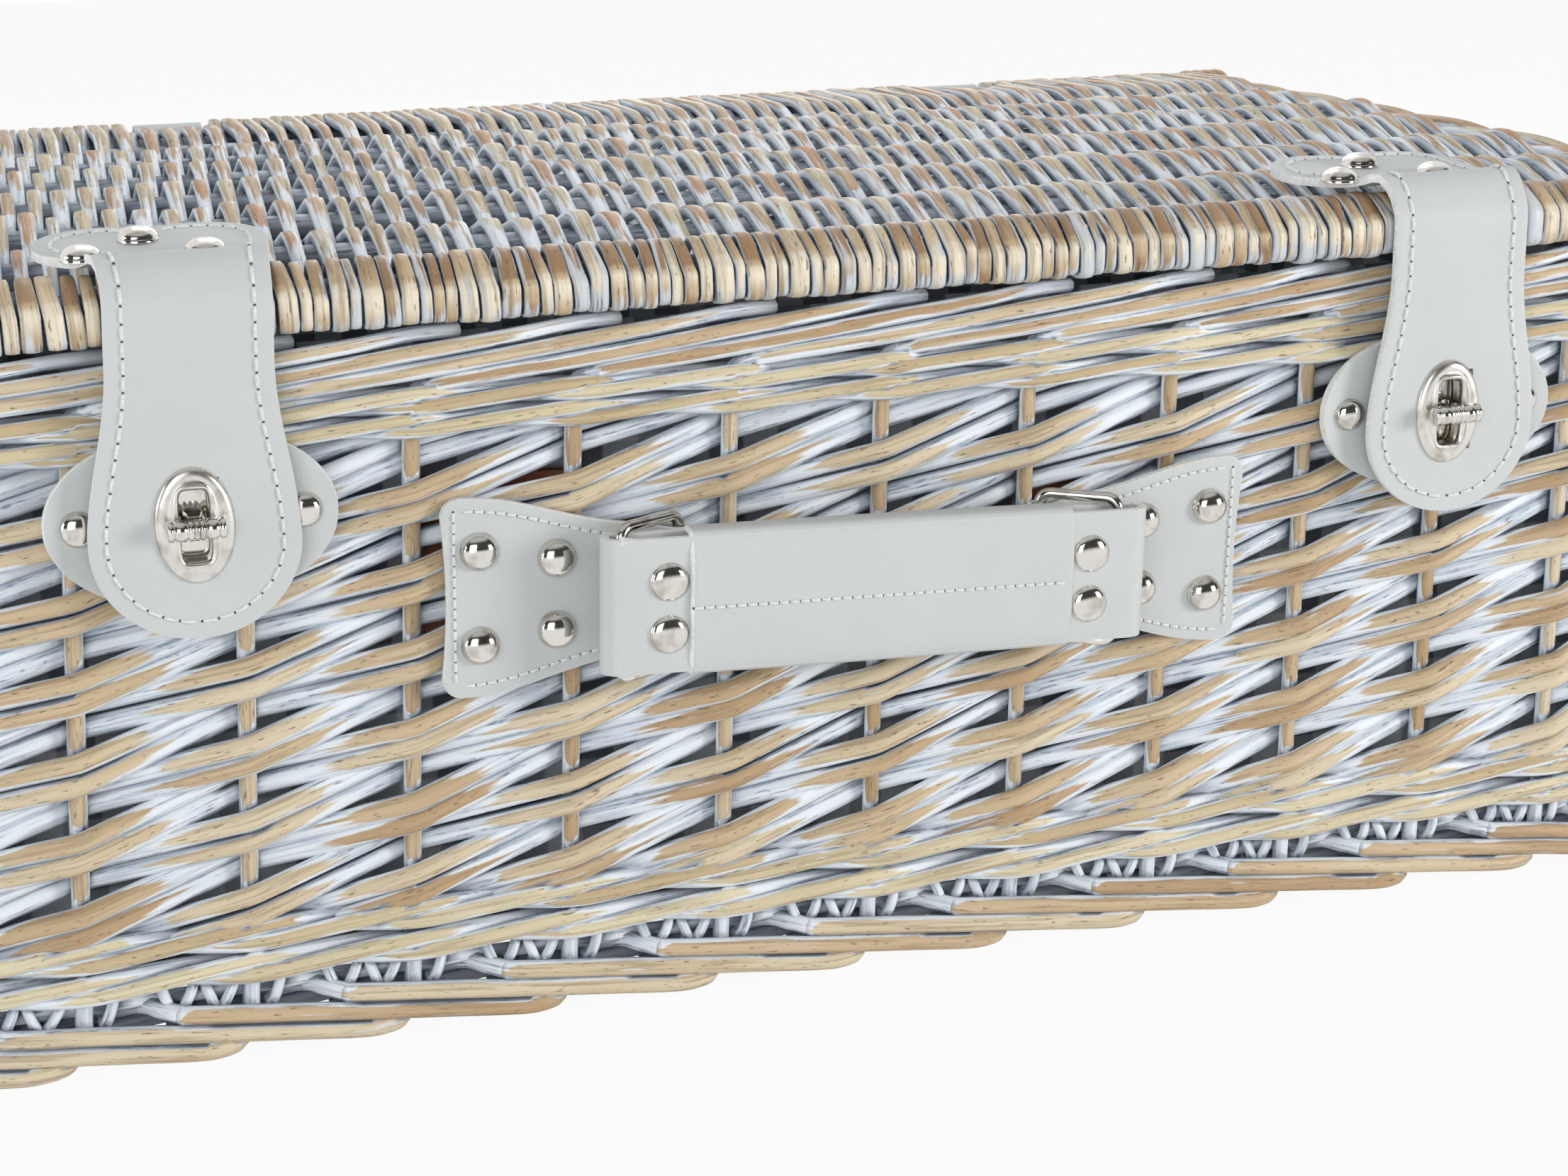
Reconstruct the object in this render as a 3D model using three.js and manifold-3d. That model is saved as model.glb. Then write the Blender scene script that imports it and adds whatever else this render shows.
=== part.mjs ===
// Picnic basket: a willow hamper with a hinged lid, two straps with turn locks, and a handle on wire rings.
// Millimetres, +Z up, the front at -Y. The origin lies on the ground, under the middle of the basket's box.

import * as THREE from 'three';
import { mergeVertices } from 'three/addons/utils/BufferGeometryUtils.js';
import Module from 'manifold-3d';

const wasm = await Module();
wasm.setup();

// Clearances
const seat = 0.3; // between two pieces that lie on each other
const running = 0.5; // round a rod, pin or stem that turns or is threaded through
const through = 4; // length of a hole's tool, in thicknesses of the piece that it goes through

// Body: outside of the woven walls
const bodyLength = 532;
const bodyDepth = 333;

// Foot border
const footHeight = 13;
const footGap = 5; // between the foot border and the first row
const footProud = 1.5; // in front of the wall
const footLedge = 5; // under the floor
const footRound = 4;

// Stakes and corner posts
const stakeDiameter = 4.8;
const postDiameter = 10;
const frontStakeCount = 11;
const endStakeCount = 6;
const frontStakeShift = 10; // the stakes stand a little to the right of an even spread

// Rows of weaving, from the foot upwards: bottom wale, pairs of rods, top wale
const rodThickness = 4.6;
const bottomWaleRows = 2;
const bottomWaleRow = 10;
const pairRows = 12;
const pairRow = 10.6;
const topWaleRows = 2;
const topWaleRow = 7.4;
const rowSlit = 0.4; // between one row and the next
const walePeriod = 3; // a wale passes in front of two stakes and behind one
const pairPeriod = 2; // a pair passes in front of one stake and behind one
const endBindWidth = 5; // the rods' turn at the end of an end wall

// Rim border
const rimHeight = 14.7;
const rimRound = 5;

// Floor
const floorCrest = 5; // half the thickness over a stick
const floorValley = 2.2;
const floorSticks = 7;

// Liner
const linerCloth = 1.5;
const linerGap = 5.5; // room for the handle's backing plates
const linerBelowRim = 6;
const linerRound = 10;

// Lid
const lidOverhang = 6;
const lidCrest = 9; // half the thickness over a stick
const lidValley = 3.2; // half the thickness between two sticks
const lidCrown = 4; // by which the lid bulges in its middle
const lidSticks = 8;
const lidBorderWidth = 14;
const lidBorderBevel = 3;
const backStickDiameter = 10;

// Leather and hinge leaves
const leatherThickness = 2.4;
const hingeInset = 116; // from the body's end to the middle of a leaf
const hingeWidth = 24;
const hingeTail = 42; // below the back stick
const hingeNotchSide = 1.5;

// Rivets
const rivetHead = 10;
const rivetDome = 3.6;
const rivetShank = 2.4;
const handleRivetDome = 2;

// Closing straps
const strapInset = 90; // from the body's end to the middle of a strap
const strapWidth = 41;
const strapLobeWidth = 58;
const strapLobeReach = 36; // behind the front stick
const strapTopShift = 10; // the lobed tops stand to the left of their flaps
const strapTopClose = 4; // and each a little closer to the middle
const strapLobeNotch = 4;
const strapLobeShoulder = 0.9; // of the reach, where a lobe turns in
const strapLobeCrown = 1.1; // of the reach, where a lobe is highest
const strapLobeInset = 0.7; // of half the strap's width, where a lobe is highest
const strapLap = 1; // by which the bend runs into the lobed top
const strapFrontRivetSpread = 30;
const strapFrontRivetReach = 4;
const strapBackRivetReach = 20;
const flapDrop = 81.5;
const flapBulgeWidth = 53;
const flapBulgeDrop = 54;
const flapNeckDrop = 22;

// Turn locks
const lockDrop = 52; // below the flap's bend
const eyeletWidth = 20;
const eyeletHeight = 30;
const eyeletPlate = 1.6;
const eyeletWasher = 1;
const eyeletWasherRim = 3;
const eyeletBarrel = 1;
const slotWidth = 7.3;
const slotHeight = 18.5;
const lockBaseWidth = 18;
const lockBaseHeight = 27;
const lockBasePlate = 1.2;
const toggleStem = 5.6;
const toggleLength = 13.5;
const toggleDiameter = 4.6;
const toggleGroove = 0.5;
const toggleGrooveCount = 3;
const toggleBevel = 1;
const toggleEnd = 0.7; // of the bar's radius, at its end faces
const toggleAhead = 0.8; // in front of the eyelet
const patchWidth = 73;
const patchHeight = 46;
const patchFullness = 0.66; // of the height, where the lens outline's curve points stand
const patchRivetSpread = 56;
const patchRivetDome = 3;

// Handle: its own level, its tilt, tabs, rings, strap and grip
const handleLevel = 118.5;
const handleTilt = 0.035; // the left end hangs higher
const loopInset = 24.5; // from the handle's end to the tab's loop
const loopShort = 0.7; // by which a loop is lower than the handle, above and below
const tabReach = 63; // from the loop to the tab's outer end
const tabEndHeight = 54;
const tabCorner = 5;
const tabNeck = 0.45; // of the reach, up to which the tab stays narrow
const tabFlare = 0.6; // of the reach, from which it opens out
const tabOuterRivetReach = 53; // from the loop
const tabOuterRivetRise = 25.6;
const tabInnerRivetReach = 32.5;
const tabInnerRivetRise = 19.6;
const wireDiameter = 3.2;
const wireBevel = 0.8;
const ringReach = 22; // between the ring's two upright bars
const ringPlay = 0.6; // between the ring and the handle, above and below
const ringCorner = 5;
const handleLength = 152;
const handleOff = 16.5; // from the wall to the middle of the handle
const handleThickness = 9.6;
const handleHeight = 36.4;
const handleRound = 3.5;
const handleSlotLength = 11.6;
const handleSlotPlay = 0.8;
const handleRivetInset = 18.5; // from the handle's end
const handleRivetRise = 14.2;
const gripInset = 24; // from the handle's end
const gripWall = 1.1;
const gripRound = 3;

// Wooden backing plates behind the tabs
const plateWidth = 60;
const plateHeight = 58;
const plateThickness = 3;
const plateReach = 34.5; // from the loop to the plate's middle

// Facets
const roundSides = 12;
const rodSides = 6;
const rivetSides = 8;
const rivetCrown = 3; // steps up a rivet's dome
const bendSteps = 3; // round the strap's bend
const gripSteps = 2; // round a corner of the grip
const curveSteps = 1; // along a curve, and twice that along an arc
const outlineSteps = 5; // along each curve of a leather outline
const waveSteps = 6; // along one bay of the lid or the floor

// What follows from the driving dimensions
const strapSpread = bodyLength - 2 * strapInset;
const hingeSpread = bodyLength - 2 * hingeInset;
const loopSpread = handleLength - 2 * loopInset;
const tabOuterRivetSpread = loopSpread + 2 * tabOuterRivetReach;
const tabInnerRivetSpread = loopSpread + 2 * tabInnerRivetReach;
const plateSpread = loopSpread + 2 * plateReach;
const handleRivetSpread = handleLength - 2 * handleRivetInset;
const gripLength = handleLength - 2 * gripInset;
const gripHeight = handleHeight + 2 * (seat + gripWall);
const gripThickness = handleThickness + 2 * (seat + gripWall);
const loopHeight = handleHeight - 2 * loopShort;
const ringHeight = handleHeight + 2 * (wireDiameter + ringPlay);
const bandOffset = rodThickness / 2 + stakeDiameter / 2 + running;
const wallHalf = bandOffset + rodThickness / 2;
const outerX = bodyLength / 2;
const outerY = bodyDepth / 2;
const postX = outerX - wallHalf;
const postY = outerY - wallHalf;
const innerX = outerX - 2 * wallHalf;
const innerY = outerY - 2 * wallHalf;
const weaveBottom = footHeight + footGap;
const rows = weaveRows();
const weaveTop = rows[rows.length - 1].top + rowSlit;
const rimTop = weaveTop + rimHeight;
const lidMiddle = rimTop + seat + lidCrest;
const knuckleRadius = backStickDiameter / 2 + running;
const hingeY = outerY + seat - knuckleRadius;
const frontStickY = lidCrest - outerY - lidOverhang;
const lidEndX = outerX + lidOverhang;
const panelEndX = lidEndX - lidBorderWidth - seat;
const flapY = frontStickY - lidCrest - seat - leatherThickness / 2;
const flapLevel = lidMiddle - leatherThickness / 2 - seat;
const lockLevel = flapLevel - lockDrop;
const eyeletFace = flapY - leatherThickness / 2 - seat - eyeletPlate;
const loopRadius = wireDiameter / 2 + running;
const loopY = -outerY - seat - loopRadius - leatherThickness;
const handleY = -outerY - handleOff;
const ringRestAngle = Math.asin((loopY - handleY) / ringReach);
const tabFace = -outerY - seat - leatherThickness;
const plateFace = -innerY + seat;
const tabShank = plateFace + plateThickness + seat - (tabFace - seat);
const handleRivetFace = handleY - handleThickness / 2 - seat;
const frontReach = Math.max(-(handleRivetFace - handleRivetDome), gripThickness / 2 - handleY);
const backReach = Math.max(hingeY + lidCrest, outerY + seat + leatherThickness, outerY + footProud);
const centring = (frontReach - backReach) / 2;

function weaveRows() {
  const list = [];
  let level = weaveBottom;
  const stack = (count, height, period) => {
    for (let i = 0; i < count; i += 1) {
      list.push({ bottom: level, top: level + height - rowSlit, period, shift: i });
      level += height;
    }
  };
  stack(bottomWaleRows, bottomWaleRow, walePeriod);
  stack(pairRows, pairRow, pairPeriod);
  stack(topWaleRows, topWaleRow, walePeriod);
  return list;
}

// Materials
function finish(color, roughness, metalness) {
  return new THREE.MeshStandardMaterial({ color, roughness, metalness });
}

const willow = finish(0xc9b899, 0.75, 0);
const paleWillow = finish(0xd8d6d2, 0.8, 0);
const greyLeather = finish(0xc4c8c6, 0.5, 0);
const nickel = finish(0xd5d2cc, 0.18, 1);
const gingham = finish(0x9a9da3, 0.95, 0);
const brownWood = finish(0x8a4b33, 0.7, 0);

// Facets of leather outlines and of round pieces and holes
const leatherCurves = { curveSegments: outlineSteps };
const roundCurves = { curveSegments: roundSides / 2 };

// Solids: joining and cutting closed geometries
function solid(geometry) {
  const bare = geometry.clone();
  bare.deleteAttribute('normal');
  bare.deleteAttribute('uv');
  const merged = mergeVertices(bare, 1e-4);
  const corners = [];
  for (let i = 0; i < merged.index.count; i += 3) {
    const [a, b, c] = [0, 1, 2].map((k) => merged.index.getX(i + k));
    if (a !== b && b !== c && c !== a) corners.push(a, b, c);
  }
  const vertProperties = new Float32Array(merged.attributes.position.array);
  return new wasm.Manifold(new wasm.Mesh({ numProp: 3, vertProperties, triVerts: new Uint32Array(corners) }));
}

function geometryOf(manifold) {
  const mesh = manifold.getMesh();
  const geometry = new THREE.BufferGeometry();
  geometry.setAttribute('position', new THREE.BufferAttribute(new Float32Array(mesh.vertProperties), 3));
  geometry.setIndex(new THREE.BufferAttribute(new Uint32Array(mesh.triVerts), 1));
  geometry.computeVertexNormals();
  return geometry;
}

function join(...geometries) {
  return geometryOf(geometries.map(solid).reduce((whole, next) => whole.add(next)));
}

function cut(geometry, ...tools) {
  return geometryOf(tools.map(solid).reduce((whole, tool) => whole.subtract(tool), solid(geometry)));
}

// Extrusions: upwards, along X from a (Y, Z) outline, and towards the front from an (X, Z) outline
const alongX = new THREE.Matrix4().makeBasis(
  new THREE.Vector3(0, 1, 0), new THREE.Vector3(0, 0, 1), new THREE.Vector3(1, 0, 0));
const towardsFront = new THREE.Matrix4().makeBasis(
  new THREE.Vector3(1, 0, 0), new THREE.Vector3(0, 0, 1), new THREE.Vector3(0, -1, 0));

function column(shape, height, options = {}) {
  const plain = { bevelEnabled: false, curveSegments: curveSteps };
  return new THREE.ExtrudeGeometry(shape, { depth: height, ...plain, ...options });
}

function bar(shape, length, options = {}) {
  return column(shape, length, options).translate(0, 0, -length / 2).applyMatrix4(alongX);
}

function plate(shape, thickness, options = {}) {
  return column(shape, thickness, options).applyMatrix4(towardsFront);
}

function roundedRectangle(width, height, radius, Path = THREE.Shape, middleX = 0, middleY = 0) {
  const r = Math.min(radius, width / 2, height / 2);
  const [x, y] = [width / 2 - r, height / 2 - r];
  const corners = [[x, y, 0], [-x, y, 0.5], [-x, -y, 1], [x, -y, 1.5]];
  const path = new Path();
  path.moveTo(middleX + width / 2, middleY - y);
  for (const [cornerX, cornerY, turn] of corners) {
    path.absarc(middleX + cornerX, middleY + cornerY, r, turn * Math.PI, (turn + 0.5) * Math.PI, false);
  }
  return path;
}

// Round rods along Z, Y and X, standing on the middle of their length
function rod(diameter, length, sides) {
  return new THREE.CylinderGeometry(diameter / 2, diameter / 2, length, sides).rotateX(Math.PI / 2);
}

const rodAlongY = (diameter, length, sides) => rod(diameter, length, sides).rotateX(Math.PI / 2);
const rodAlongX = (diameter, length, sides) => rod(diameter, length, sides).rotateY(Math.PI / 2);

// A dome rivet, its head's underside at the origin, its head towards +Y before it is turned
function rivet(shankLength, dome) {
  const half = rivetHead / 2;
  const profile = [new THREE.Vector2(0, -shankLength), new THREE.Vector2(rivetShank / 2, -shankLength)];
  profile.push(new THREE.Vector2(rivetShank / 2, 0), new THREE.Vector2(half, 0));
  for (let i = 1; i <= rivetCrown; i += 1) {
    const angle = (i / rivetCrown) * (Math.PI / 2);
    profile.push(new THREE.Vector2(i === rivetCrown ? 0 : half * Math.cos(angle), dome * Math.sin(angle)));
  }
  return new THREE.LatheGeometry(profile, rivetSides);
}

const wallRivet = (shankLength, dome) => rivet(shankLength, dome).rotateX(Math.PI);
const lidRivet = (shankLength, dome) => rivet(shankLength, dome).rotateX(Math.PI / 2);
const shankHole = (length) => rodAlongY(rivetShank + 2 * seat, length, rodSides);

// A leaf of leather looped round a pin at the origin, its tail on the +X side running to -Y
function loopedLeaf(radius, tail) {
  const outer = radius + leatherThickness;
  const meet = Math.acos(radius / outer);
  const shape = new THREE.Shape();
  shape.moveTo(outer, -tail);
  shape.lineTo(outer, 0);
  shape.absarc(0, 0, outer, 0, 2 * Math.PI - meet, false);
  shape.lineTo(radius, -tail);
  shape.holes.push(new THREE.Path().absarc(0, 0, radius, 0, 2 * Math.PI, true));
  return shape;
}

// Woven panel seen from its end: a wave over sticks that run along X, its ends round and its middle raised
function panelShape(first, last, sticks, crest, valley, crown = 0) {
  const steps = (sticks - 1) * waveSteps;
  const half = (i) => valley + (crest - valley) * (0.5 + 0.5 * Math.cos((2 * Math.PI * i) / waveSteps));
  const lift = (i) => crown * Math.sin((Math.PI * i) / steps);
  const at = (i) => first + ((last - first) * i) / steps;
  const shape = new THREE.Shape();
  shape.moveTo(first, -crest);
  for (let i = 1; i <= steps; i += 1) shape.lineTo(at(i), lift(i) - half(i));
  shape.absarc(last, 0, crest, -Math.PI / 2, Math.PI / 2, false);
  for (let i = steps - 1; i >= 0; i -= 1) shape.lineTo(at(i), lift(i) + half(i));
  shape.absarc(first, 0, crest, Math.PI / 2, 1.5 * Math.PI, false);
  return shape;
}

// The basket's groups
const basket = new THREE.Group();
basket.position.y = centring;
const add = (parent, name, geometry, material) => {
  const mesh = new THREE.Mesh(geometry, material);
  mesh.name = name;
  parent.add(mesh);
  return mesh;
};
const groupAt = (parent, x, y, z) => {
  const group = new THREE.Group();
  group.position.set(x, y, z);
  parent.add(group);
  return group;
};
const sides = [['left', -1], ['right', 1]];

// Walls. Each is made in its own frame: stakes on the X axis, the outside towards -Y.
function stakePlaces(count, halfSpan, shift) {
  const pitch = (2 * halfSpan) / (count + 1);
  return Array.from({ length: count }, (_, i) => shift + (i - (count - 1) / 2) * pitch);
}

function wovenRow(row, stakes, halfSpan) {
  const middle = [[-halfSpan, 0]];
  stakes.forEach((x, i) => {
    const behind = (i + row.shift) % row.period === row.period - 1;
    middle.push([x, behind ? bandOffset : -bandOffset]);
  });
  middle.push([halfSpan, 0]);
  const front = middle.map(([x, y]) => new THREE.Vector2(x, y - rodThickness / 2));
  const back = middle.map(([x, y]) => new THREE.Vector2(x, y + rodThickness / 2));
  const shape = new THREE.Shape([...front, ...back.reverse()]);
  return column(shape, row.top - row.bottom).translate(0, 0, row.bottom);
}

// The rods' turn round a corner post: a sleeve, rounded on the basket's outside corner
function cornerTurn(side) {
  const h = wallHalf;
  const shape = new THREE.Shape();
  shape.moveTo(-h, -h);
  shape.lineTo(0, -h);
  shape.absarc(0, 0, h, -Math.PI / 2, 0, false);
  shape.lineTo(h, h);
  shape.lineTo(-h, h);
  shape.holes.push(new THREE.Path().absarc(0, 0, postDiameter / 2 + running, 0, 2 * Math.PI, true));
  const sleeve = column(shape, weaveTop - rowSlit - weaveBottom, roundCurves).translate(0, 0, weaveBottom);
  return sleeve.rotateZ(side > 0 ? 0 : -Math.PI / 2);
}

function longWeave(stakes) {
  const overlap = (wallHalf - postDiameter / 2 - running) / 2;
  const bands = rows.map((row) => wovenRow(row, stakes, postX - wallHalf + overlap));
  const turns = [-1, 1].map((side) => cornerTurn(side).translate(side * postX, 0, 0));
  return join(...turns, ...bands);
}

function endWeave(stakes) {
  const halfSpan = postY - wallHalf - seat;
  const height = weaveTop - rowSlit - weaveBottom;
  const bands = rows.map((row) => wovenRow(row, stakes, halfSpan - endBindWidth / 2));
  const turns = [-1, 1].map((side) => new THREE.BoxGeometry(endBindWidth, rodThickness + 2 * running, height)
    .translate(side * (halfSpan - endBindWidth / 2), 0, weaveBottom + height / 2));
  return join(...turns, ...bands);
}

// Stakes with their tips laid down as the rim; the end walls' rims run over the corner posts
function stakesWithRim(stakes, rimLength, postPlaces) {
  const low = footHeight + seat;
  const tall = weaveTop + rimHeight / 2 - low;
  const upright = (x, diameter) => rod(diameter, tall, rodSides).translate(x, 0, low + tall / 2);
  const rim = bar(roundedRectangle(2 * wallHalf, rimHeight, rimRound), rimLength)
    .translate(0, 0, weaveTop + rimHeight / 2);
  const posts = postPlaces.map((x) => upright(x, postDiameter));
  return join(rim, ...stakes.map((x) => upright(x, stakeDiameter)), ...posts);
}

function foot(length) {
  const width = footProud + 2 * wallHalf + footLedge;
  return bar(roundedRectangle(width, footHeight, footRound), length)
    .translate(0, (footLedge - footProud) / 2, footHeight / 2);
}

function addWalls() {
  const longStakes = stakePlaces(frontStakeCount, postX, frontStakeShift);
  const endStakes = stakePlaces(endStakeCount, postY, 0);
  const long = { stakes: longStakes, reach: postY, rim: 2 * (postX - wallHalf - seat) };
  long.foot = 2 * (postX - wallHalf - footLedge - seat);
  const end = { stakes: endStakes, reach: postX, rim: bodyDepth, foot: bodyDepth + 2 * footProud };
  const quarter = Math.PI / 2;
  const turned = [['front', 0, long], ['back', Math.PI, long]];
  turned.push(['left', -quarter, end], ['right', quarter, end]);
  for (const [name, angle, wall] of turned) {
    const group = groupAt(basket, Math.sin(angle) * wall.reach, -Math.cos(angle) * wall.reach, 0);
    group.rotation.z = angle;
    let weave = wall === long ? longWeave(wall.stakes) : endWeave(wall.stakes);
    let uprights = stakesWithRim(wall.stakes, wall.rim, wall === long ? [] : [-postY, postY]);
    if (name === 'front') {
      const holes = tabRivetPlaces().map(([x, z]) => shankHole(through * wallHalf).translate(x, 0, z));
      weave = cut(weave, ...holes);
      uprights = cut(uprights, ...holes);
    }
    add(group, `${name}_weave`, weave, paleWillow);
    add(group, `${name}_stakes`, uprights, willow);
    add(group, `${name}_foot`, foot(wall.foot), paleWillow);
  }
}

// Places of the eight tab rivets on the wall, turned with the handle's tilt
function tabRivetPlaces() {
  const places = [];
  for (const side of [-1, 1]) {
    for (const rise of [1, -1]) {
      places.push([side * tabOuterRivetSpread / 2, rise * tabOuterRivetRise / 2]);
      places.push([side * tabInnerRivetSpread / 2, rise * tabInnerRivetRise / 2]);
    }
  }
  const [c, s] = [Math.cos(handleTilt), Math.sin(handleTilt)];
  return places.map(([x, z]) => [x * c + z * s, handleLevel - x * s + z * c]);
}

// Floor and liner
function addInside() {
  const floorReach = innerY - floorCrest - seat;
  const floor = panelShape(-floorReach, floorReach, floorSticks, floorCrest, floorValley);
  const floorMiddle = footHeight + seat + floorCrest;
  add(basket, 'base_weave', bar(floor, 2 * (innerX - seat)).translate(0, 0, floorMiddle), paleWillow);

  const [width, depth] = [2 * (innerX - linerGap), 2 * (innerY - linerGap)];
  const low = floorMiddle + floorCrest + seat;
  const tall = rimTop - linerBelowRim - low;
  const outside = column(roundedRectangle(width, depth, linerRound), tall);
  const inner = roundedRectangle(width - 2 * linerCloth, depth - 2 * linerCloth, linerRound - linerCloth);
  const inside = column(inner, tall).translate(0, 0, linerCloth);
  add(basket, 'liner', cut(outside, inside).translate(0, 0, low), gingham);
}

// Lid: woven panel, the bare back stick that it turns on, and the borders at its ends
const lid = groupAt(basket, 0, 0, lidMiddle);

function lobeShift(side) {
  return -strapTopShift - side * strapTopClose;
}

function strapRivetPlaces(side) {
  const [middle, half] = [lobeShift(side), strapFrontRivetSpread / 2];
  const front = [middle - half, middle + half].map((x) => [x, strapFrontRivetReach]);
  return [...front, [middle, strapBackRivetReach]];
}

function addLid() {
  const shape = panelShape(frontStickY, hingeY, lidSticks, lidCrest, lidValley, lidCrown);
  shape.holes.push(new THREE.Path().absarc(hingeY, 0, backStickDiameter / 2 + seat, 0, 2 * Math.PI, true));
  const notchDepth = knuckleRadius + leatherThickness + running;
  const notchLength = notchDepth + 2 * lidCrest;
  const notch = new THREE.BoxGeometry(hingeWidth + 2 * hingeNotchSide, notchLength, through * lidCrest);
  const tools = [];
  for (const [, side] of sides) {
    tools.push(notch.clone().translate(side * hingeSpread / 2, hingeY - notchDepth + notchLength / 2, 0));
    for (const [x, reach] of strapRivetPlaces(side)) {
      const hole = rod(rivetShank + 2 * seat, through * lidCrest, rodSides);
      tools.push(hole.translate(side * strapSpread / 2 + x, frontStickY + reach, 0));
    }
  }
  add(lid, 'lid_weave', cut(bar(shape, 2 * panelEndX, roundCurves), ...tools), willow);
  const backStick = rodAlongX(backStickDiameter, 2 * panelEndX, roundSides).translate(0, hingeY, 0);
  add(lid, 'lid_back_stick', backStick, willow);
  const edge = lidCrest - lidBorderBevel;
  const border = panelShape(frontStickY, hingeY, 2, edge, edge);
  const bevel = { bevelEnabled: true, bevelSize: lidBorderBevel, bevelThickness: lidBorderBevel };
  Object.assign(bevel, { bevelSegments: 1, curveSegments: roundCurves.curveSegments / 2 });
  for (const [name, side] of sides) {
    const geometry = bar(border, lidBorderWidth - 2 * lidBorderBevel, bevel);
    add(lid, `lid_${name}_border`, geometry.translate(side * (lidEndX - lidBorderWidth / 2), 0, 0), willow);
  }
}

function addHinges() {
  for (const [name, side] of sides) {
    const leaf = bar(loopedLeaf(knuckleRadius, hingeTail), hingeWidth, roundCurves);
    add(lid, `${name}_hinge_leaf`, leaf.translate(side * hingeSpread / 2, hingeY, 0), greyLeather);
  }
}

// Closing straps: the lobed top that bends over the lid's front edge, its rivets, and the hanging flap
function strapLobes(side) {
  const [w, lobe, reach] = [strapWidth / 2, strapLobeWidth / 2, strapLobeReach];
  const middle = lobeShift(side);
  const [shoulder, crown, inset] = [strapLobeShoulder * reach, strapLobeCrown * reach, strapLobeInset * w];
  const shape = new THREE.Shape();
  shape.moveTo(-w, 0);
  shape.lineTo(w, 0);
  const [left, right] = [middle - lobe, middle + lobe];
  shape.bezierCurveTo(w, reach / 6, right, reach / 8, right, reach / 2);
  shape.bezierCurveTo(right, shoulder, middle + inset, crown, middle, reach - strapLobeNotch);
  shape.bezierCurveTo(middle - inset, crown, left, shoulder, left, reach / 2);
  shape.bezierCurveTo(left, reach / 8, -w, reach / 6, -w, 0);
  return shape;
}

function strapBend() {
  const inner = lidCrest + seat;
  const shape = new THREE.Shape();
  shape.moveTo(strapLap, inner);
  shape.lineTo(strapLap, inner + leatherThickness);
  shape.absarc(0, 0, inner + leatherThickness, Math.PI / 2, Math.PI, false);
  shape.absarc(0, 0, inner, Math.PI, Math.PI / 2, true);
  return bar(shape, strapWidth, { curveSegments: bendSteps }).translate(0, frontStickY, 0);
}

function flapShape() {
  const [w, bulge] = [strapWidth / 2, flapBulgeWidth / 2];
  const [neck, tip] = [(flapNeckDrop + flapBulgeDrop) / 2, (flapBulgeDrop + flapDrop) / 2];
  const shape = new THREE.Shape();
  shape.moveTo(w, 0);
  shape.lineTo(-w, 0);
  shape.lineTo(-w, -flapNeckDrop);
  shape.bezierCurveTo(-w, -neck, -bulge, -flapNeckDrop - w / 2, -bulge, -flapBulgeDrop);
  shape.bezierCurveTo(-bulge, -tip, -w / 2, -flapDrop, 0, -flapDrop);
  shape.bezierCurveTo(w / 2, -flapDrop, bulge, -tip, bulge, -flapBulgeDrop);
  shape.bezierCurveTo(bulge, -flapNeckDrop - w / 2, w, -neck, w, -flapNeckDrop);
  const hole = 2 * (eyeletBarrel + seat);
  const slot = roundedRectangle(slotWidth + hole, slotHeight + hole, slotWidth / 2, THREE.Path, 0, -lockDrop);
  shape.holes.push(new THREE.Path(slot.getPoints(curveSteps)));
  return shape;
}

function ovalShape(width, height) {
  return new THREE.Shape().absellipse(0, 0, width / 2, height / 2, 0, 2 * Math.PI, false);
}

function slotRing(outline) {
  const slot = roundedRectangle(slotWidth, slotHeight, slotWidth / 3, THREE.Path);
  outline.holes.push(new THREE.Path(slot.getPoints(curveSteps)));
  return outline;
}

// The eyelet: oval plate, barrel through the flap, and the washer that it is clenched on
function eyelet() {
  const oval = ovalShape(eyeletWidth, eyeletHeight);
  const face = plate(slotRing(oval), eyeletPlate, roundCurves).translate(0, eyeletFace + eyeletPlate, 0);
  const back = flapY + leatherThickness / 2 + seat + eyeletWasher;
  const ring = (rim) => slotRing(roundedRectangle(slotWidth + 2 * rim, slotHeight + 2 * rim, slotWidth / 2));
  const barrel = plate(ring(eyeletBarrel), back - eyeletFace - eyeletPlate / 2).translate(0, back, 0);
  const washer = plate(ring(eyeletWasherRim), eyeletWasher).translate(0, back, 0);
  return join(face, barrel, washer);
}

function addStraps() {
  for (const [name, side] of sides) {
    const onLid = groupAt(lid, side * strapSpread / 2, 0, 0);
    const lobes = column(strapLobes(side), leatherThickness, leatherCurves);
    lobes.translate(0, frontStickY, lidCrest + seat);
    const shankLength = leatherThickness + lidCrest + lidValley;
    const holes = strapRivetPlaces(side).map(([x, reach]) => {
      const hole = rod(rivetShank + 2 * seat, through * lidCrest, rodSides);
      return hole.translate(x, frontStickY + reach, 0);
    });
    add(onLid, `${name}_strap_top`, cut(join(lobes, strapBend()), ...holes), greyLeather);
    strapRivetPlaces(side).forEach(([x, reach], i) => {
      const geometry = lidRivet(shankLength, rivetDome);
      const mesh = add(onLid, `${name}_strap_rivet_${i + 1}`, geometry, nickel);
      mesh.position.set(x, frontStickY + reach, lidCrest + leatherThickness + 2 * seat);
    });
    const hanging = groupAt(basket, side * strapSpread / 2, 0, flapLevel);
    const fold = rodAlongX(leatherThickness, strapWidth, rodSides).translate(0, flapY, 0);
    const sheet = plate(flapShape(), leatherThickness, leatherCurves);
    sheet.translate(0, flapY + leatherThickness / 2, 0);
    add(hanging, `${name}_strap_flap`, join(sheet, fold), greyLeather);
    add(hanging, `${name}_lock_eyelet`, eyelet().translate(0, 0, -lockDrop), nickel);
  }
}

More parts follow.
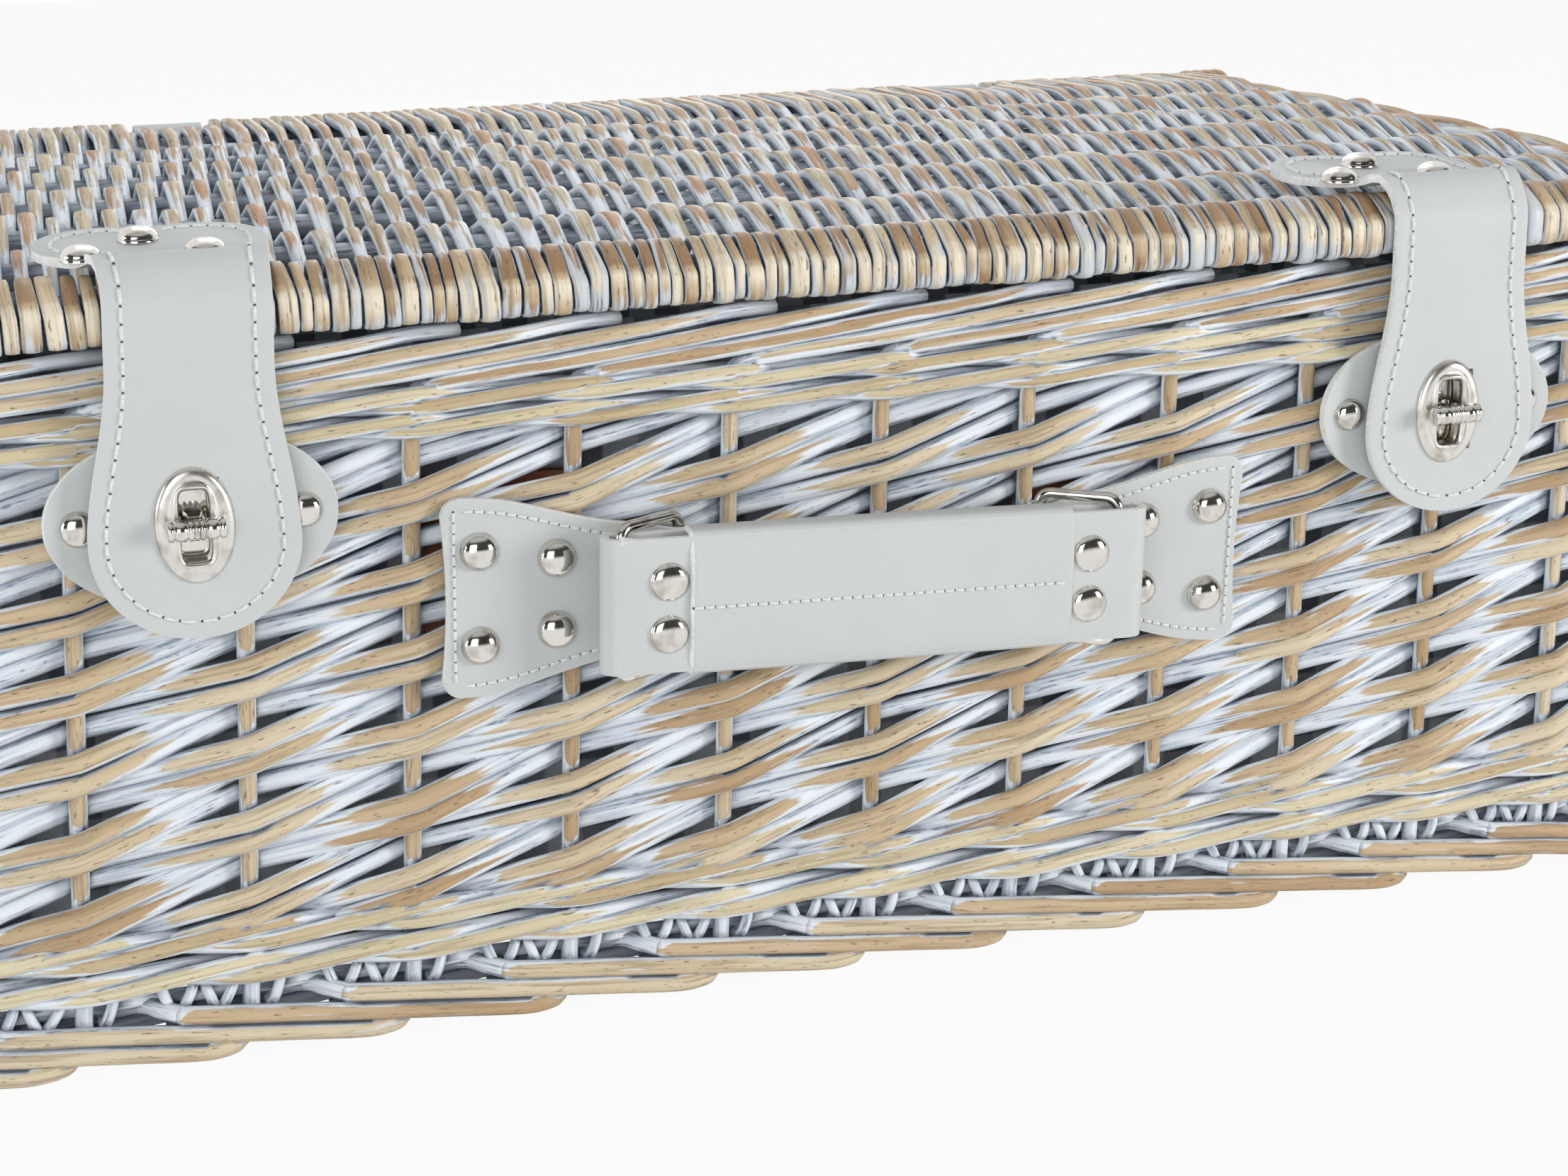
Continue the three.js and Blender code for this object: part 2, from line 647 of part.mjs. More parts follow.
// Turn locks: leather patch with its two rivets, base plate, toggle
function patch() {
  const [x, z] = [patchWidth / 2, patchHeight * patchFullness];
  const shape = new THREE.Shape();
  shape.moveTo(-x, 0);
  shape.bezierCurveTo(-x / 2, -z, x / 2, -z, x, 0);
  shape.bezierCurveTo(x / 2, z, -x / 2, z, -x, 0);
  const sheet = plate(shape, leatherThickness, leatherCurves).translate(0, -outerY - seat, 0);
  const heads = [-1, 1].map((side) => wallRivet(leatherThickness / 2, patchRivetDome)
    .translate(side * patchRivetSpread / 2, tabFace, 0));
  return join(sheet, ...heads);
}

function lockBase() {
  const oval = ovalShape(lockBaseWidth, lockBaseHeight);
  oval.holes.push(new THREE.Path().absarc(0, 0, toggleStem / 2 + running, 0, 2 * Math.PI, true));
  return plate(oval, lockBasePlate, roundCurves).translate(0, tabFace - seat, 0);
}

// A grooved bar across the end of a round stem
function toggle() {
  const half = toggleLength / 2;
  const radius = toggleDiameter / 2;
  const end = radius * toggleEnd;
  const shoulder = half - toggleBevel;
  const profile = [new THREE.Vector2(0, -half), new THREE.Vector2(end, -half)];
  profile.push(new THREE.Vector2(radius, -shoulder));
  const pitch = (2 * shoulder) / (toggleGrooveCount + 1);
  for (let i = 1; i <= toggleGrooveCount; i += 1) {
    const at = i * pitch - shoulder;
    profile.push(new THREE.Vector2(radius, at - toggleGroove), new THREE.Vector2(radius - toggleGroove, at));
    profile.push(new THREE.Vector2(radius, at + toggleGroove));
  }
  profile.push(new THREE.Vector2(radius, shoulder), new THREE.Vector2(end, half), new THREE.Vector2(0, half));
  const barY = eyeletFace - toggleAhead - radius;
  const grip = new THREE.LatheGeometry(profile, rodSides).rotateZ(Math.PI / 2).translate(0, barY, 0);
  const stemBack = tabFace - seat;
  const stem = rodAlongY(toggleStem, stemBack - barY, roundSides).translate(0, (stemBack + barY) / 2, 0);
  return join(grip, stem);
}

function addLocks() {
  for (const [name, side] of sides) {
    const group = groupAt(basket, side * strapSpread / 2, 0, lockLevel);
    add(group, `${name}_lock_patch`, patch(), greyLeather);
    add(group, `${name}_lock_base`, lockBase(), nickel);
    add(group, `${name}_lock_toggle`, toggle(), nickel);
  }
}

// Handle on the front wall, tilted as a whole about the line through its middle
const handle = groupAt(basket, 0, 0, handleLevel);
handle.rotation.y = handleTilt;

function tab(side) {
  const [low, high, reach] = [loopHeight / 2, tabEndHeight / 2, tabReach];
  const [neck, flare] = [reach * tabNeck, reach * tabFlare];
  const x = (along) => side * (loopSpread / 2 + along);
  const shape = new THREE.Shape();
  shape.moveTo(x(0), -low);
  shape.bezierCurveTo(x(neck), -low, x(flare), -low, x(reach - tabCorner), -high);
  shape.quadraticCurveTo(x(reach), -high, x(reach), tabCorner - high);
  shape.lineTo(x(reach), high - tabCorner);
  shape.quadraticCurveTo(x(reach), high, x(reach - tabCorner), high);
  shape.bezierCurveTo(x(flare), low, x(neck), low, x(0), low);
  const sheet = plate(shape, leatherThickness, leatherCurves).translate(0, -outerY - seat, 0);
  const loop = column(loopedLeaf(loopRadius, 3 * leatherThickness), loopHeight, roundCurves);
  loop.translate(0, 0, -loopHeight / 2).rotateZ(Math.PI / 2);
  if (side < 0) loop.rotateX(Math.PI).rotateZ(Math.PI);
  return join(sheet, loop.translate(x(0), loopY, 0));
}

function ring() {
  const outline = roundedRectangle(ringReach + wireDiameter, ringHeight, ringCorner);
  const [width, height] = [ringReach - wireDiameter, ringHeight - 2 * wireDiameter];
  outline.holes.push(roundedRectangle(width, height, ringCorner - wireDiameter, THREE.Path));
  const bevel = { bevelEnabled: true, bevelSize: wireBevel, bevelOffset: -wireBevel, bevelSegments: 1 };
  const geometry = plate(outline, wireDiameter - 2 * wireBevel, { ...bevel, bevelThickness: wireBevel });
  return geometry.translate(ringReach / 2, wireDiameter / 2 - wireBevel, 0);
}

function handleStrap() {
  const shape = roundedRectangle(handleLength, handleThickness, handleRound);
  const slot = wireDiameter + 2 * handleSlotPlay;
  for (const [, side] of sides) {
    const middle = side * (handleLength / 2 - leatherThickness - handleSlotLength / 2);
    shape.holes.push(roundedRectangle(handleSlotLength, slot, slot / 2, THREE.Path, middle, 0));
  }
  const strap = column(shape, handleHeight).translate(0, handleY, -handleHeight / 2);
  const hole = shankHole(through * handleThickness);
  const holes = handleRivetPlaces().map(([x, z]) => hole.clone().translate(x, handleY, z));
  return cut(strap, ...holes);
}

function handleRivetPlaces() {
  const [x, z] = [handleRivetSpread / 2, handleRivetRise / 2];
  return [[-x, z], [-x, -z], [x, z], [x, -z]];
}

function grip() {
  const shape = roundedRectangle(gripThickness, gripHeight, gripRound);
  const [y, z] = [handleThickness / 2 + seat, handleHeight / 2 + seat];
  const corners = [[-y, -z], [y, -z], [y, z], [-y, z]];
  shape.holes.push(new THREE.Path(corners.map((corner) => new THREE.Vector2(...corner))));
  return bar(shape, gripLength, { curveSegments: gripSteps }).translate(0, handleY, 0);
}

function backingPlate(side) {
  const board = new THREE.BoxGeometry(plateWidth, plateThickness, plateHeight);
  board.translate(side * plateSpread / 2, plateFace + plateThickness / 2, 0);
  const hole = shankHole(through * plateThickness);
  const holes = tabRivetOffsets(side).map(([x, z]) => hole.clone().translate(x, plateFace, z));
  return cut(board, ...holes);
}

function tabRivetOffsets(side) {
  const outer = [side * tabOuterRivetSpread / 2, tabOuterRivetRise / 2];
  const inner = [side * tabInnerRivetSpread / 2, tabInnerRivetRise / 2];
  return [outer, [outer[0], -outer[1]], inner, [inner[0], -inner[1]]];
}

function addHandle() {
  for (const [name, side] of sides) {
    const offsets = tabRivetOffsets(side);
    const holes = offsets.map(([x, z]) => shankHole(through * leatherThickness).translate(x, tabFace, z));
    add(handle, `${name}_tab`, cut(tab(side), ...holes), greyLeather);
    add(handle, `${name}_backing_plate`, backingPlate(side), brownWood);
    offsets.forEach(([x, z], i) => {
      const mesh = add(handle, `${name}_tab_rivet_${i + 1}`, wallRivet(tabShank, rivetDome), nickel);
      mesh.position.set(x, tabFace - seat, z);
    });
    const mesh = add(handle, `${name}_ring`, ring(), nickel);
    mesh.position.set(side * loopSpread / 2, loopY, 0);
    mesh.rotation.z = side > 0 ? -ringRestAngle : Math.PI + ringRestAngle;
  }
  add(handle, 'handle_strap', handleStrap(), greyLeather);
  add(handle, 'handle_grip', grip(), greyLeather);
  handleRivetPlaces().forEach(([x, z], i) => {
    const geometry = wallRivet(handleThickness + seat, handleRivetDome);
    const mesh = add(handle, `handle_rivet_${i + 1}`, geometry, nickel);
    mesh.position.set(x, handleRivetFace, z);
  });
}

addWalls();
addInside();
addLid();
addHinges();
addStraps();
addLocks();
addHandle();

export default basket;
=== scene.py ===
"""Looks of the picnic basket: willow rods, leather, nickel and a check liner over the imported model.

Named sizes are in millimetres and turn into metres where a mesh is made. +Z is up and the front faces -Y.
"""
import math
import random

import bmesh
import bpy
import numpy as np
from mathutils import Matrix, Vector
from mathutils.bvhtree import BVHTree


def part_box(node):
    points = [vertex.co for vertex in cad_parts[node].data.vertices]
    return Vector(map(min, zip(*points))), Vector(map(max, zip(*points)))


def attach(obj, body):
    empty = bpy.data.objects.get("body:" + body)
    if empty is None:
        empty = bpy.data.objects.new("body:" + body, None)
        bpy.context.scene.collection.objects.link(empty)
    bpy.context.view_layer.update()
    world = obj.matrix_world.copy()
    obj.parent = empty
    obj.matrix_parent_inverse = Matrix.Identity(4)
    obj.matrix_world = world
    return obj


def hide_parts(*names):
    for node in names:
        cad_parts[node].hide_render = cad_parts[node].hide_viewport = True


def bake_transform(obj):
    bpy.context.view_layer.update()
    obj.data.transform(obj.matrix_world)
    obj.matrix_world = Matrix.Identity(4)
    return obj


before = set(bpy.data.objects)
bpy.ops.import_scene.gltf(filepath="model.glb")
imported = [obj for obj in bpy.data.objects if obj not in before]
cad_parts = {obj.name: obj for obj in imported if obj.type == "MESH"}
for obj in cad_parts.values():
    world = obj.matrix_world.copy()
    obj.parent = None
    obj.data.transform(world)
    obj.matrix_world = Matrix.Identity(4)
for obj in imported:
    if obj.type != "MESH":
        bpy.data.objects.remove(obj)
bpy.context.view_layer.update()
chance = random.Random(11)
METRE = 0.001
SIDES = ((-1, "left"), (1, "right"))

# Camera, fitted to the photo
EYE = (-223.379, -819.155, 322.538)
YAW = 0.29726
PITCH = -0.29015
ROLL = -0.01623
LENS = 61.07
SENSOR = 36.0

# Walls: the middle line of the rods and the stations where stakes and corner posts stand
MIDDLE_Y = 9.9
HALF_X = 258.5
HALF_Y = 159.0
CORNER_ROUND = 7.0
FRONT_STAKES = 11
FRONT_STAKE_SHIFT = 10.0
END_STAKES = 6
WEAVE_DEPTH = 5.2
PAIR_LEVEL = 43.3
PAIR_RISE = 10.6
PAIR_ROWS = 12
PAIR_SPREAD = 2.8
PAIR_SAG = 1.2
PAIR_THICK = 2.95
PAIR_THIN = 2.65
RUBBED_UP = 0.35
BOTTOM_WALE = ((24.5, 2.4, 2.5), (33.6, 2.4, 2.5))
TOP_WALE = ((168.6, 1.8, 2.05), (174.8, 1.8, 2.05))
STAKE_RADIUS = 2.4
POST_RADIUS = 3.3
STAKE_FOOT = 10.0
FOOT_RADIUS = 2.65
FRONT_LEAN = 0.07
LEAN_LEVEL = 150.0
LEAN_START = 40.0
RIM_START = 167.0
RIM_PROUD = -0.32
STAKE_FOOT_PROUD = -0.3
SILL_LEVEL = 16.4
SILL_OUT = -2.4
SILL_RADIUS = 2.2
SILL_WRAP_RADIUS = 1.5
BASE_LEVEL = 18.3
BASE_CREST = 2.6
BASE_PITCH = 5.2
BASE_STICKS = 7
BASE_HALF_X = 249.0
BASE_HALF_Y = 145.0
BASE_STICK_RADIUS = 2.4
BASE_ROD_RADIUS = 2.2

# Lid
LID_LEVEL = 204.0
FRONT_STICK = -153.6
BACK_STICK = 171.2
LID_STICKS = 8
LID_HALF = 256.0
LID_CROWN = 3.8
STICK_RADIUS = 3.9
WEAVERS = 134
WEAVER_SPREAD = (0.75, 1.25)
WRAPS = 120
WRAP_SPREAD = (0.7, 1.35)
WEAVER_PRESS = (0.86, 1.1)
WRAP_PRESS = (0.68, 1.12)
WEAVER_SQUARENESS = 4.0
CREST = 6.9
TUCK = 11.0
TUCK_LEVEL = -4.0
CREST_SWELL = 1.2
CROSSING_PINCH = 0.97
CREST_EASE = 5.0
WEAVER_PROUD = 0.35
TUCKED = 5
CREST_STEPS = (-23.2, -15, -8, -5, -2.5, 0, 2.5, 5, 8, 15)
WRAP = 7.1
WRAP_SQUARENESS = 3.0
HINGE_SPREAD = 150.0
HINGE_NOTCH = 14.5
HINGE_HALF = 12.0
HINGE_LOOP = 6.7
HINGE_FOOT = 163.2
HINGE_DOMES = (173.0, 188.0)
HINGE_SEWN = (166.4, 198.0)
BORDER_X = 261.0
BORDER_SWELL = 5.6
BORDER_RUN = 2.15
CORNER_TURNS = 4
CORNER_TURN_PITCH = 4.1
CORNER_TURN_RADIUS = 2.1

# Leather
LEATHER = 2.4
STRAP_STITCH = 4.2
TAB_STITCH = 2.9
STITCH_RADIUS = 0.5
HOLE_RADIUS = 0.38
STITCH_INSET = 3.3
STRAP_INSET = 4.5
STRAP_X = 176.0
STRAP_HALF = 20.5
BEND = 10.5
BEND_LEVEL = 202.5
LOBE_HALF = 29.0
LOBE_REACH = 36.0
LOBE_NOTCH = 4.0
LOBE_RISE = 0.09
HUMP_RISE = 3.0
HUMP_MIDDLE = -3.5
HUMP_REACH = 4.5
LOBE_SHIFT = {-1: -6.0, 1: -14.0}
FLARE = 12.0
STRAP_DRIFT = {-1: (2.8, 0.0), 1: (2.0, 1.6)}
NECK_DROP = 12.0
BULGE_DROP = 57.0
BULGE_HALF = 26.2
FLAP_DROP = 81.5
LOCK_LEVEL = 150.5
PATCH_HALF = 36.5
PATCH_HEIGHT = 46.0
PATCH_Y = -158.1
PATCH_RIVET = 28.0
PATCH_CURL = 0.9
PATCH_FLAT = 0.7
STRAP_DOMES = ((-15, 4), (15, 4), (0, 20))
STRAP_DOME_LEVEL = 215.7
BLEND_Y = -164.1
BLEND_LEVELS = (206.5, 198.5)
SLOT_HALF = (5.6, 11.2)
BAR_Y = -170.0

# Dome rivets: radius and height
STRAP_DOME_SIZE = (5.0, 3.6)
PATCH_DOME_SIZE = (4.5, 3.0)
TAB_DOME_SIZE = (5.0, 3.8)
HANDLE_DOME_SIZE = (5.0, 2.2)
HINGE_DOME_SIZE = (4.0, 1.2)

# Liner
CLOTH = 0.8
RIPPLE = 1.2

# Handle, in a frame that is tilted about Y
HANDLE_LEVEL = 118.5
HANDLE_Y = -173.1
TILT = 0.035
HANDLE_HALF = 76.8
HANDLE_HEIGHT = 36.4
HANDLE_FOLD = 3.6
GRIP_HALF = 53.8
HANDLE_DRIFT = 1.2
HANDLE_DOME_X = 59.3
GRIP_HEIGHT = 39.2
GRIP_THICK = 12.4
GRIP_WALL = 1.2
GRIP_SQUARENESS = (5.0, 3.4)
LAP_LEVEL = -2.0
LAP_HALF = 0.9
LAP_DEPTH = 0.7
SEAM_LEVEL = -0.6
TAB_X = 51.5
TAB_Y = -161.4
TAB_END = 114.5
TAB_END_HALF = 27.0
TAB_LOOP_HALF = 17.3
TAB_CORNER = 5.0
TAB_HOLLOW = 1.3
TAB_LAYER = 1.15
TAB_FRONT = -158.75
TAB_BACK = -157.5
TAB_DOME_Y = -159.4
TAB_DOMES = ((104.5, 12.8), (104.5, -12.8), (84, 9.8), (84, -9.8))
HANDLE_DOME_Y = -177.9
HANDLE_DOME_LEVELS = (6.6, -7.6)
HANDLE_SEAM = 33
RING_WIRE = 1.6
RING_HALF = 20.4
RING_REACH = 22.0
RING_ANGLE = 0.5608
RING_CORNER = 3.4
RING_GAP = 2.0

# Willow finish: noise scales along and across the grain, and how the closed-in places keep their wash and are
# darkened with painted shade and grime
STREAK_SCALE = (40.0, 1000.0, 1000.0)
FLECK_SCALE = (260.0, 1700.0, 1700.0)
PATCH_SCALE = (50.0, 330.0, 330.0)
DRIFT_SCALE = (14.0, 90.0, 90.0)
CREVICE_START = 0.2
CREVICE_REACH = 5.0
CREVICE_TILT = 0.9
CREVICE_WASH = 0.7
# Closed-in places get painted shade with grime: a grey from the darkest wash, then slate
CREVICE_GREY_SHADE = (0.16, 0.46, 0.5)
CREVICE_GRIME_AND_SHADE = (0.42, 0.75, 0.75)
BARE_WILLOW = ((222, 206, 176), (206, 182, 146), (190, 160, 122), (156, 132, 102), (88, 72, 60))
PALE_WILLOW = ((226, 214, 182), (212, 196, 160), (200, 178, 140), (164, 144, 114), (92, 78, 64))
LID_WILLOW = ((202, 186, 152), (186, 158, 120), (184, 138, 98), (130, 114, 90), (70, 62, 56))
WRAP_WILLOW = ((234, 222, 198), (200, 176, 140), (160, 126, 92), (138, 120, 96), (74, 64, 56))
WALL_WASH = ((236, 241, 246), (194, 205, 216), (116, 128, 146))
LID_WASH = ((230, 236, 243), (188, 199, 211), (106, 116, 134))
WRAP_WASH = ((206, 211, 215), (158, 166, 174), (88, 96, 108))
# Slate for grime and painted shade in the willow's crevices and recesses
GRIME_AND_SHADE = (56, 62, 74)
# Start, end and strength of the grime and painted shade on recessed sides of the rods
WALL_GRIME_AND_SHADE = (0.5, 0.9, 0.6)
WRAP_GRIME_AND_SHADE = (0.3, 0.7, 0.6)
WALL_BARE = (0.66, 0.78, 0.5, 0.45)
WALE_BARE = (0.86, 0.98, 0.7, 0.6)
LID_BARE = (0.7, 0.88, 0.8, 0.6)
WRAP_BARE = (0.66, 0.84, 0.8, 0.8)


def colour(red, green, blue):
    """A screen colour, 0 to 255, as linear RGBA."""
    shares = [value / 255 for value in (red, green, blue)]
    return (*(((share + 0.055) / 1.055) ** 2.4 for share in shares), 1.0)


class Value:
    """A shader socket on which arithmetic adds Math nodes."""

    def __init__(self, paint, socket):
        self.paint = paint
        self.socket = socket

    def math(self, operation, first, second):
        return self.paint.node("ShaderNodeMath", {"operation": operation}, {0: first, 1: second})

    def __add__(self, other):
        return self.math("ADD", self, other)

    def __radd__(self, other):
        return self.math("ADD", other, self)

    def __sub__(self, other):
        return self.math("SUBTRACT", self, other)

    def __rsub__(self, other):
        return self.math("SUBTRACT", other, self)

    def __mul__(self, other):
        return self.math("MULTIPLY", self, other)

    def __rmul__(self, other):
        return self.math("MULTIPLY", other, self)


class Paint:
    """A material or world under construction."""

    def __init__(self, owner):
        self.owner = owner
        owner.use_nodes = True
        self.tree = owner.node_tree

    def node(self, kind, settings, inputs, out=0):
        made = self.tree.nodes.new(kind)
        for key, setting in settings.items():
            setattr(made, key, setting)
        for key, value in inputs.items():
            self.feed(made.inputs[key], value)
        return Value(self, made.outputs[out])

    def feed(self, socket, value):
        if isinstance(value, Value):
            self.tree.links.new(value.socket, socket)
        else:
            socket.default_value = value

    def shade(self, **inputs):
        shader = self.tree.nodes["Principled BSDF"]
        for key, value in inputs.items():
            self.feed(shader.inputs[key.replace("_", " ")], value)
        return self.owner

    def attribute(self, name, out):
        return self.node("ShaderNodeAttribute", {"attribute_name": name}, {}, out)

    def place(self, out="Object"):
        return self.node("ShaderNodeTexCoord", {}, {}, out)

    def noise(self, vector, scale, detail=2.0):
        stretched = self.node("ShaderNodeVectorMath", {"operation": "MULTIPLY"}, {0: vector, 1: scale})
        inputs = {"Vector": stretched, "Scale": 1.0, "Detail": detail}
        return self.node("ShaderNodeTexNoise", {}, inputs, "Fac")

    def step(self, value, low, high):
        settings = {"interpolation_type": "SMOOTHSTEP"}
        return self.node("ShaderNodeMapRange", settings, {"Value": value, "From Min": low, "From Max": high})

    def mix(self, factor, first, second):
        return self.node("ShaderNodeMix", {"data_type": "RGBA"}, {0: factor, 6: first, 7: second}, 2)

    def bump(self, height, strength, distance):
        inputs = {"Height": height, "Strength": strength, "Distance": distance}
        return self.node("ShaderNodeBump", {}, inputs, "Normal")


def material(name):
    return Paint(bpy.data.materials.new(name))


def willow(name, woods, washes, bare, recess_grime_and_shade, gloss):
    """Washed rods: bare wood where they stand proud, wash in the hollows, and grime with painted shade in the
    deepest places and where rods close in.
    """
    paint = material(name)
    woods = [colour(*wood) for wood in woods]
    washes = [colour(*wash) for wash in washes]
    grain = paint.attribute("grain", "Vector")
    tone = paint.attribute("tone", "Fac")
    proud = paint.attribute("proud", "Fac")
    crevice = paint.attribute("crevice", "Fac")
    streak = paint.noise(grain, STREAK_SCALE, 5.0)
    fleck = paint.noise(grain, FLECK_SCALE, 3.0)
    patch = paint.noise(grain, PATCH_SCALE, 2.0)
    drift = paint.noise(grain, DRIFT_SCALE, 1.0)
    pale = paint.mix(paint.step(tone + (drift - 0.5) * 0.8, 0.1, 0.6), woods[0], woods[1])
    wood = paint.mix(paint.step(tone + (drift - 0.5) * 1.2, 0.6, 0.95), pale, woods[2])
    wood = paint.mix(paint.step(streak, 0.46, 0.68) * 0.6, wood, woods[3])
    wood = paint.mix(paint.step(fleck, 0.63, 0.69) * 0.7, wood, woods[4])
    brushed = paint.step(streak + (patch - 0.5) * 0.6, 0.42, 0.68)
    wash = paint.mix(brushed, washes[0], washes[1])
    wash = paint.mix(paint.step(fleck + streak, 1.14, 1.26) * 0.7, wash, washes[2])
    worn = proud - crevice * CREVICE_WASH + (patch - 0.5) * bare[2] + (streak - 0.5) * bare[3]
    surface = paint.mix(paint.step(worn, bare[0], bare[1]), wash, wood)
    smear = paint.step(patch + streak, 1.22, 1.34) * 0.6
    surface = paint.mix(smear, surface, washes[0])
    # Painted shade with grime: slate where other rods close in (closed) and on recessed, inward-facing sides
    # (deep)
    closed = crevice + (streak - 0.5) * 0.25 + (fleck - 0.5) * 0.2
    deep = (fleck - 0.5) * 0.5 - proud
    black = colour(*GRIME_AND_SHADE)
    grime_and_shade_layers = ((closed, CREVICE_GREY_SHADE, washes[2]), (closed, CREVICE_GRIME_AND_SHADE, black), (deep, recess_grime_and_shade, black))
    for hollow, (low, high, most), dark_colour in grime_and_shade_layers:
        surface = paint.mix(paint.step(hollow, low, high) * most, surface, dark_colour)
    ridges = paint.bump(streak + fleck * 0.4, 0.4, 0.0005)
    return paint.shade(Base_Color=surface, Roughness=gloss + streak * 0.3, Normal=ridges)


wall_paint = willow("washed_willow_wall", BARE_WILLOW, WALL_WASH, WALL_BARE, WALL_GRIME_AND_SHADE, 0.4)
wale_paint = willow("washed_willow_wale", PALE_WILLOW, WALL_WASH, WALE_BARE, WALL_GRIME_AND_SHADE, 0.4)
lid_paint = willow("washed_willow_lid", LID_WILLOW, LID_WASH, LID_BARE, WALL_GRIME_AND_SHADE, 0.3)
wrap_paint = willow("washed_willow_wraps", WRAP_WILLOW, WRAP_WASH, WRAP_BARE, WRAP_GRIME_AND_SHADE, 0.26)


def leather_paint():
    """Pale grey leather with a fine grain, a little uneven in colour."""
    paint = material("grey_leather")
    base = colour(209, 212, 211)
    deep = colour(200, 203, 201)
    place = paint.place()
    pebble = paint.noise(place, (1500.0, 1500.0, 1500.0), 3.0)
    cells = {"Vector": place, "Scale": 900.0}
    pore = paint.node("ShaderNodeTexVoronoi", {"feature": "F1"}, cells, "Distance")
    cloud = paint.noise(place, (45.0, 45.0, 45.0), 3.0)
    surface = paint.mix(cloud, base, deep)
    surface = paint.mix(paint.step(pebble, 0.6, 0.75) * 0.4, surface, deep)
    grain = paint.bump(pebble + pore * 0.6, 0.22, 0.0003)
    rough = 0.44 + cloud * 0.16
    return paint.shade(Base_Color=surface, Roughness=rough, Normal=grain, Specular_IOR_Level=0.3)


def edge_paint():
    """The pale, mottled core of the leather where it is cut."""
    paint = material("cut_leather_edge")
    mottle = paint.noise(paint.place(), (900.0, 900.0, 900.0), 3.0)
    surface = paint.mix(paint.step(mottle, 0.3, 0.7), colour(248, 248, 246), colour(228, 228, 224))
    fibres = paint.bump(mottle, 0.4, 0.0003)
    return paint.shade(Base_Color=surface, Roughness=0.7 + mottle * 0.1, Normal=fibres)


def thread_paint():
    """Pale thread, with painted shade as a dark colour in the needle holes."""
    paint = material("grey_thread")
    twist = paint.noise(paint.place(), (2500.0, 2500.0, 2500.0), 2.0)
    pale = paint.mix(paint.step(twist, 0.35, 0.65), colour(240, 241, 240), colour(216, 217, 216))
    raised = paint.step(paint.attribute("proud", "Fac"), -1.0, 1.0)
    # The needle holes' dark colour is painted shade
    surface = paint.mix(raised, colour(74, 70, 68), pale)
    return paint.shade(Base_Color=surface, Roughness=0.6 + twist * 0.1, Normal=paint.bump(twist, 0.3, 0.0002))


def nickel_paint(name, gloss):
    """Polished or satin nickel with a warm tarnish and fine scratches."""
    paint = material(name)
    place = paint.place()
    cloud = paint.noise(place, (220.0, 220.0, 220.0), 2.0)
    scratch = paint.noise(place, (700.0, 3500.0, 700.0), 2.0)
    tarnish = paint.mix(paint.step(cloud, 0.45, 0.75), colour(222, 219, 213), colour(186, 180, 170))
    rough = gloss + cloud * 0.1 + paint.step(scratch, 0.6, 0.8) * 0.1
    scored = paint.bump(scratch, 0.02, 0.0002)
    return paint.shade(Base_Color=tarnish, Metallic=1.0, Roughness=rough, Normal=scored)


def board_paint():
    """Reddish stained board."""
    paint = material("backing_board")
    figure = paint.noise(paint.place(), (18.0, 18.0, 160.0), 4.0)
    surface = paint.mix(paint.step(figure, 0.3, 0.7), colour(150, 92, 66), colour(108, 62, 46))
    grain = paint.bump(figure, 0.2, 0.0004)
    return paint.shade(Base_Color=surface, Roughness=0.55 + figure * 0.2, Normal=grain)


def check_paint():
    """A woven check: two thread colours cross, and where both are dark the square is darkest."""
    paint = material("check_lining")
    place = paint.place("UV")
    split = paint.node("ShaderNodeSeparateXYZ", {}, {0: place}, "X")
    across = split.socket.node.outputs["Y"]
    shares = []
    for way in (split, Value(paint, across)):
        wave = paint.node("ShaderNodeMath", {"operation": "PINGPONG"}, {0: way, 1: 0.01})
        shares.append(paint.step(wave, 0.0045, 0.0055))
    yarn = paint.noise(place, (2500.0, 2500.0, 1.0), 1.0)
    shade = (shares[0] + shares[1]) * 0.5
    surface = paint.mix(shade, colour(226, 228, 230), colour(120, 124, 132))
    surface = paint.mix(paint.step(yarn, 0.55, 0.75) * 0.3, surface, colour(90, 94, 102))
    return paint.shade(Base_Color=surface, Roughness=0.85 + yarn * 0.1, Normal=paint.bump(yarn, 0.5, 0.0004))


leather = leather_paint()
leather_edge = edge_paint()
thread = thread_paint()
nickel = nickel_paint("nickel", 0.05)
satin = nickel_paint("satin_nickel", 0.24)
board = board_paint()
check = check_paint()


def link(data, name):
    piece = bpy.data.objects.new(name, data)
    bpy.context.scene.collection.objects.link(piece)
    return piece


def finished(name, shape, *paints):
    """A bmesh made an object with its materials."""
    mesh = bpy.data.meshes.new(name)
    shape.to_mesh(mesh)
    shape.free()
    for paint in paints:
        mesh.materials.append(paint)
    mesh.shade_smooth()
    return link(mesh, name)


def settle(piece):
    """Applies the piece's modifiers to its mesh."""
    view = bpy.context.evaluated_depsgraph_get()
    applied = bpy.data.meshes.new_from_object(piece.evaluated_get(view))
    spare = piece.data
    piece.modifiers.clear()
    piece.data = applied
    applied.name = piece.name
    bpy.data.meshes.remove(spare)
    return piece


def belongs(piece, body, slot, *nodes):
    """The piece rides on a body and stands for CAD nodes, which are hidden; the slot is not used."""
    if body:
        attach(piece, body)
    if nodes:
        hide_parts(*nodes)
    return piece


def bezier(first, second, third, fourth, count):
    """Points on a cubic curve."""
    share = np.linspace(0, 1, count)[:, None]
    corners = [np.array(p, float) for p in (first, second, third, fourth)]
    weights = ((1 - share) ** 3, 3 * share * (1 - share) ** 2, 3 * share ** 2 * (1 - share), share ** 3)
    return sum(w * c for w, c in zip(weights, corners))


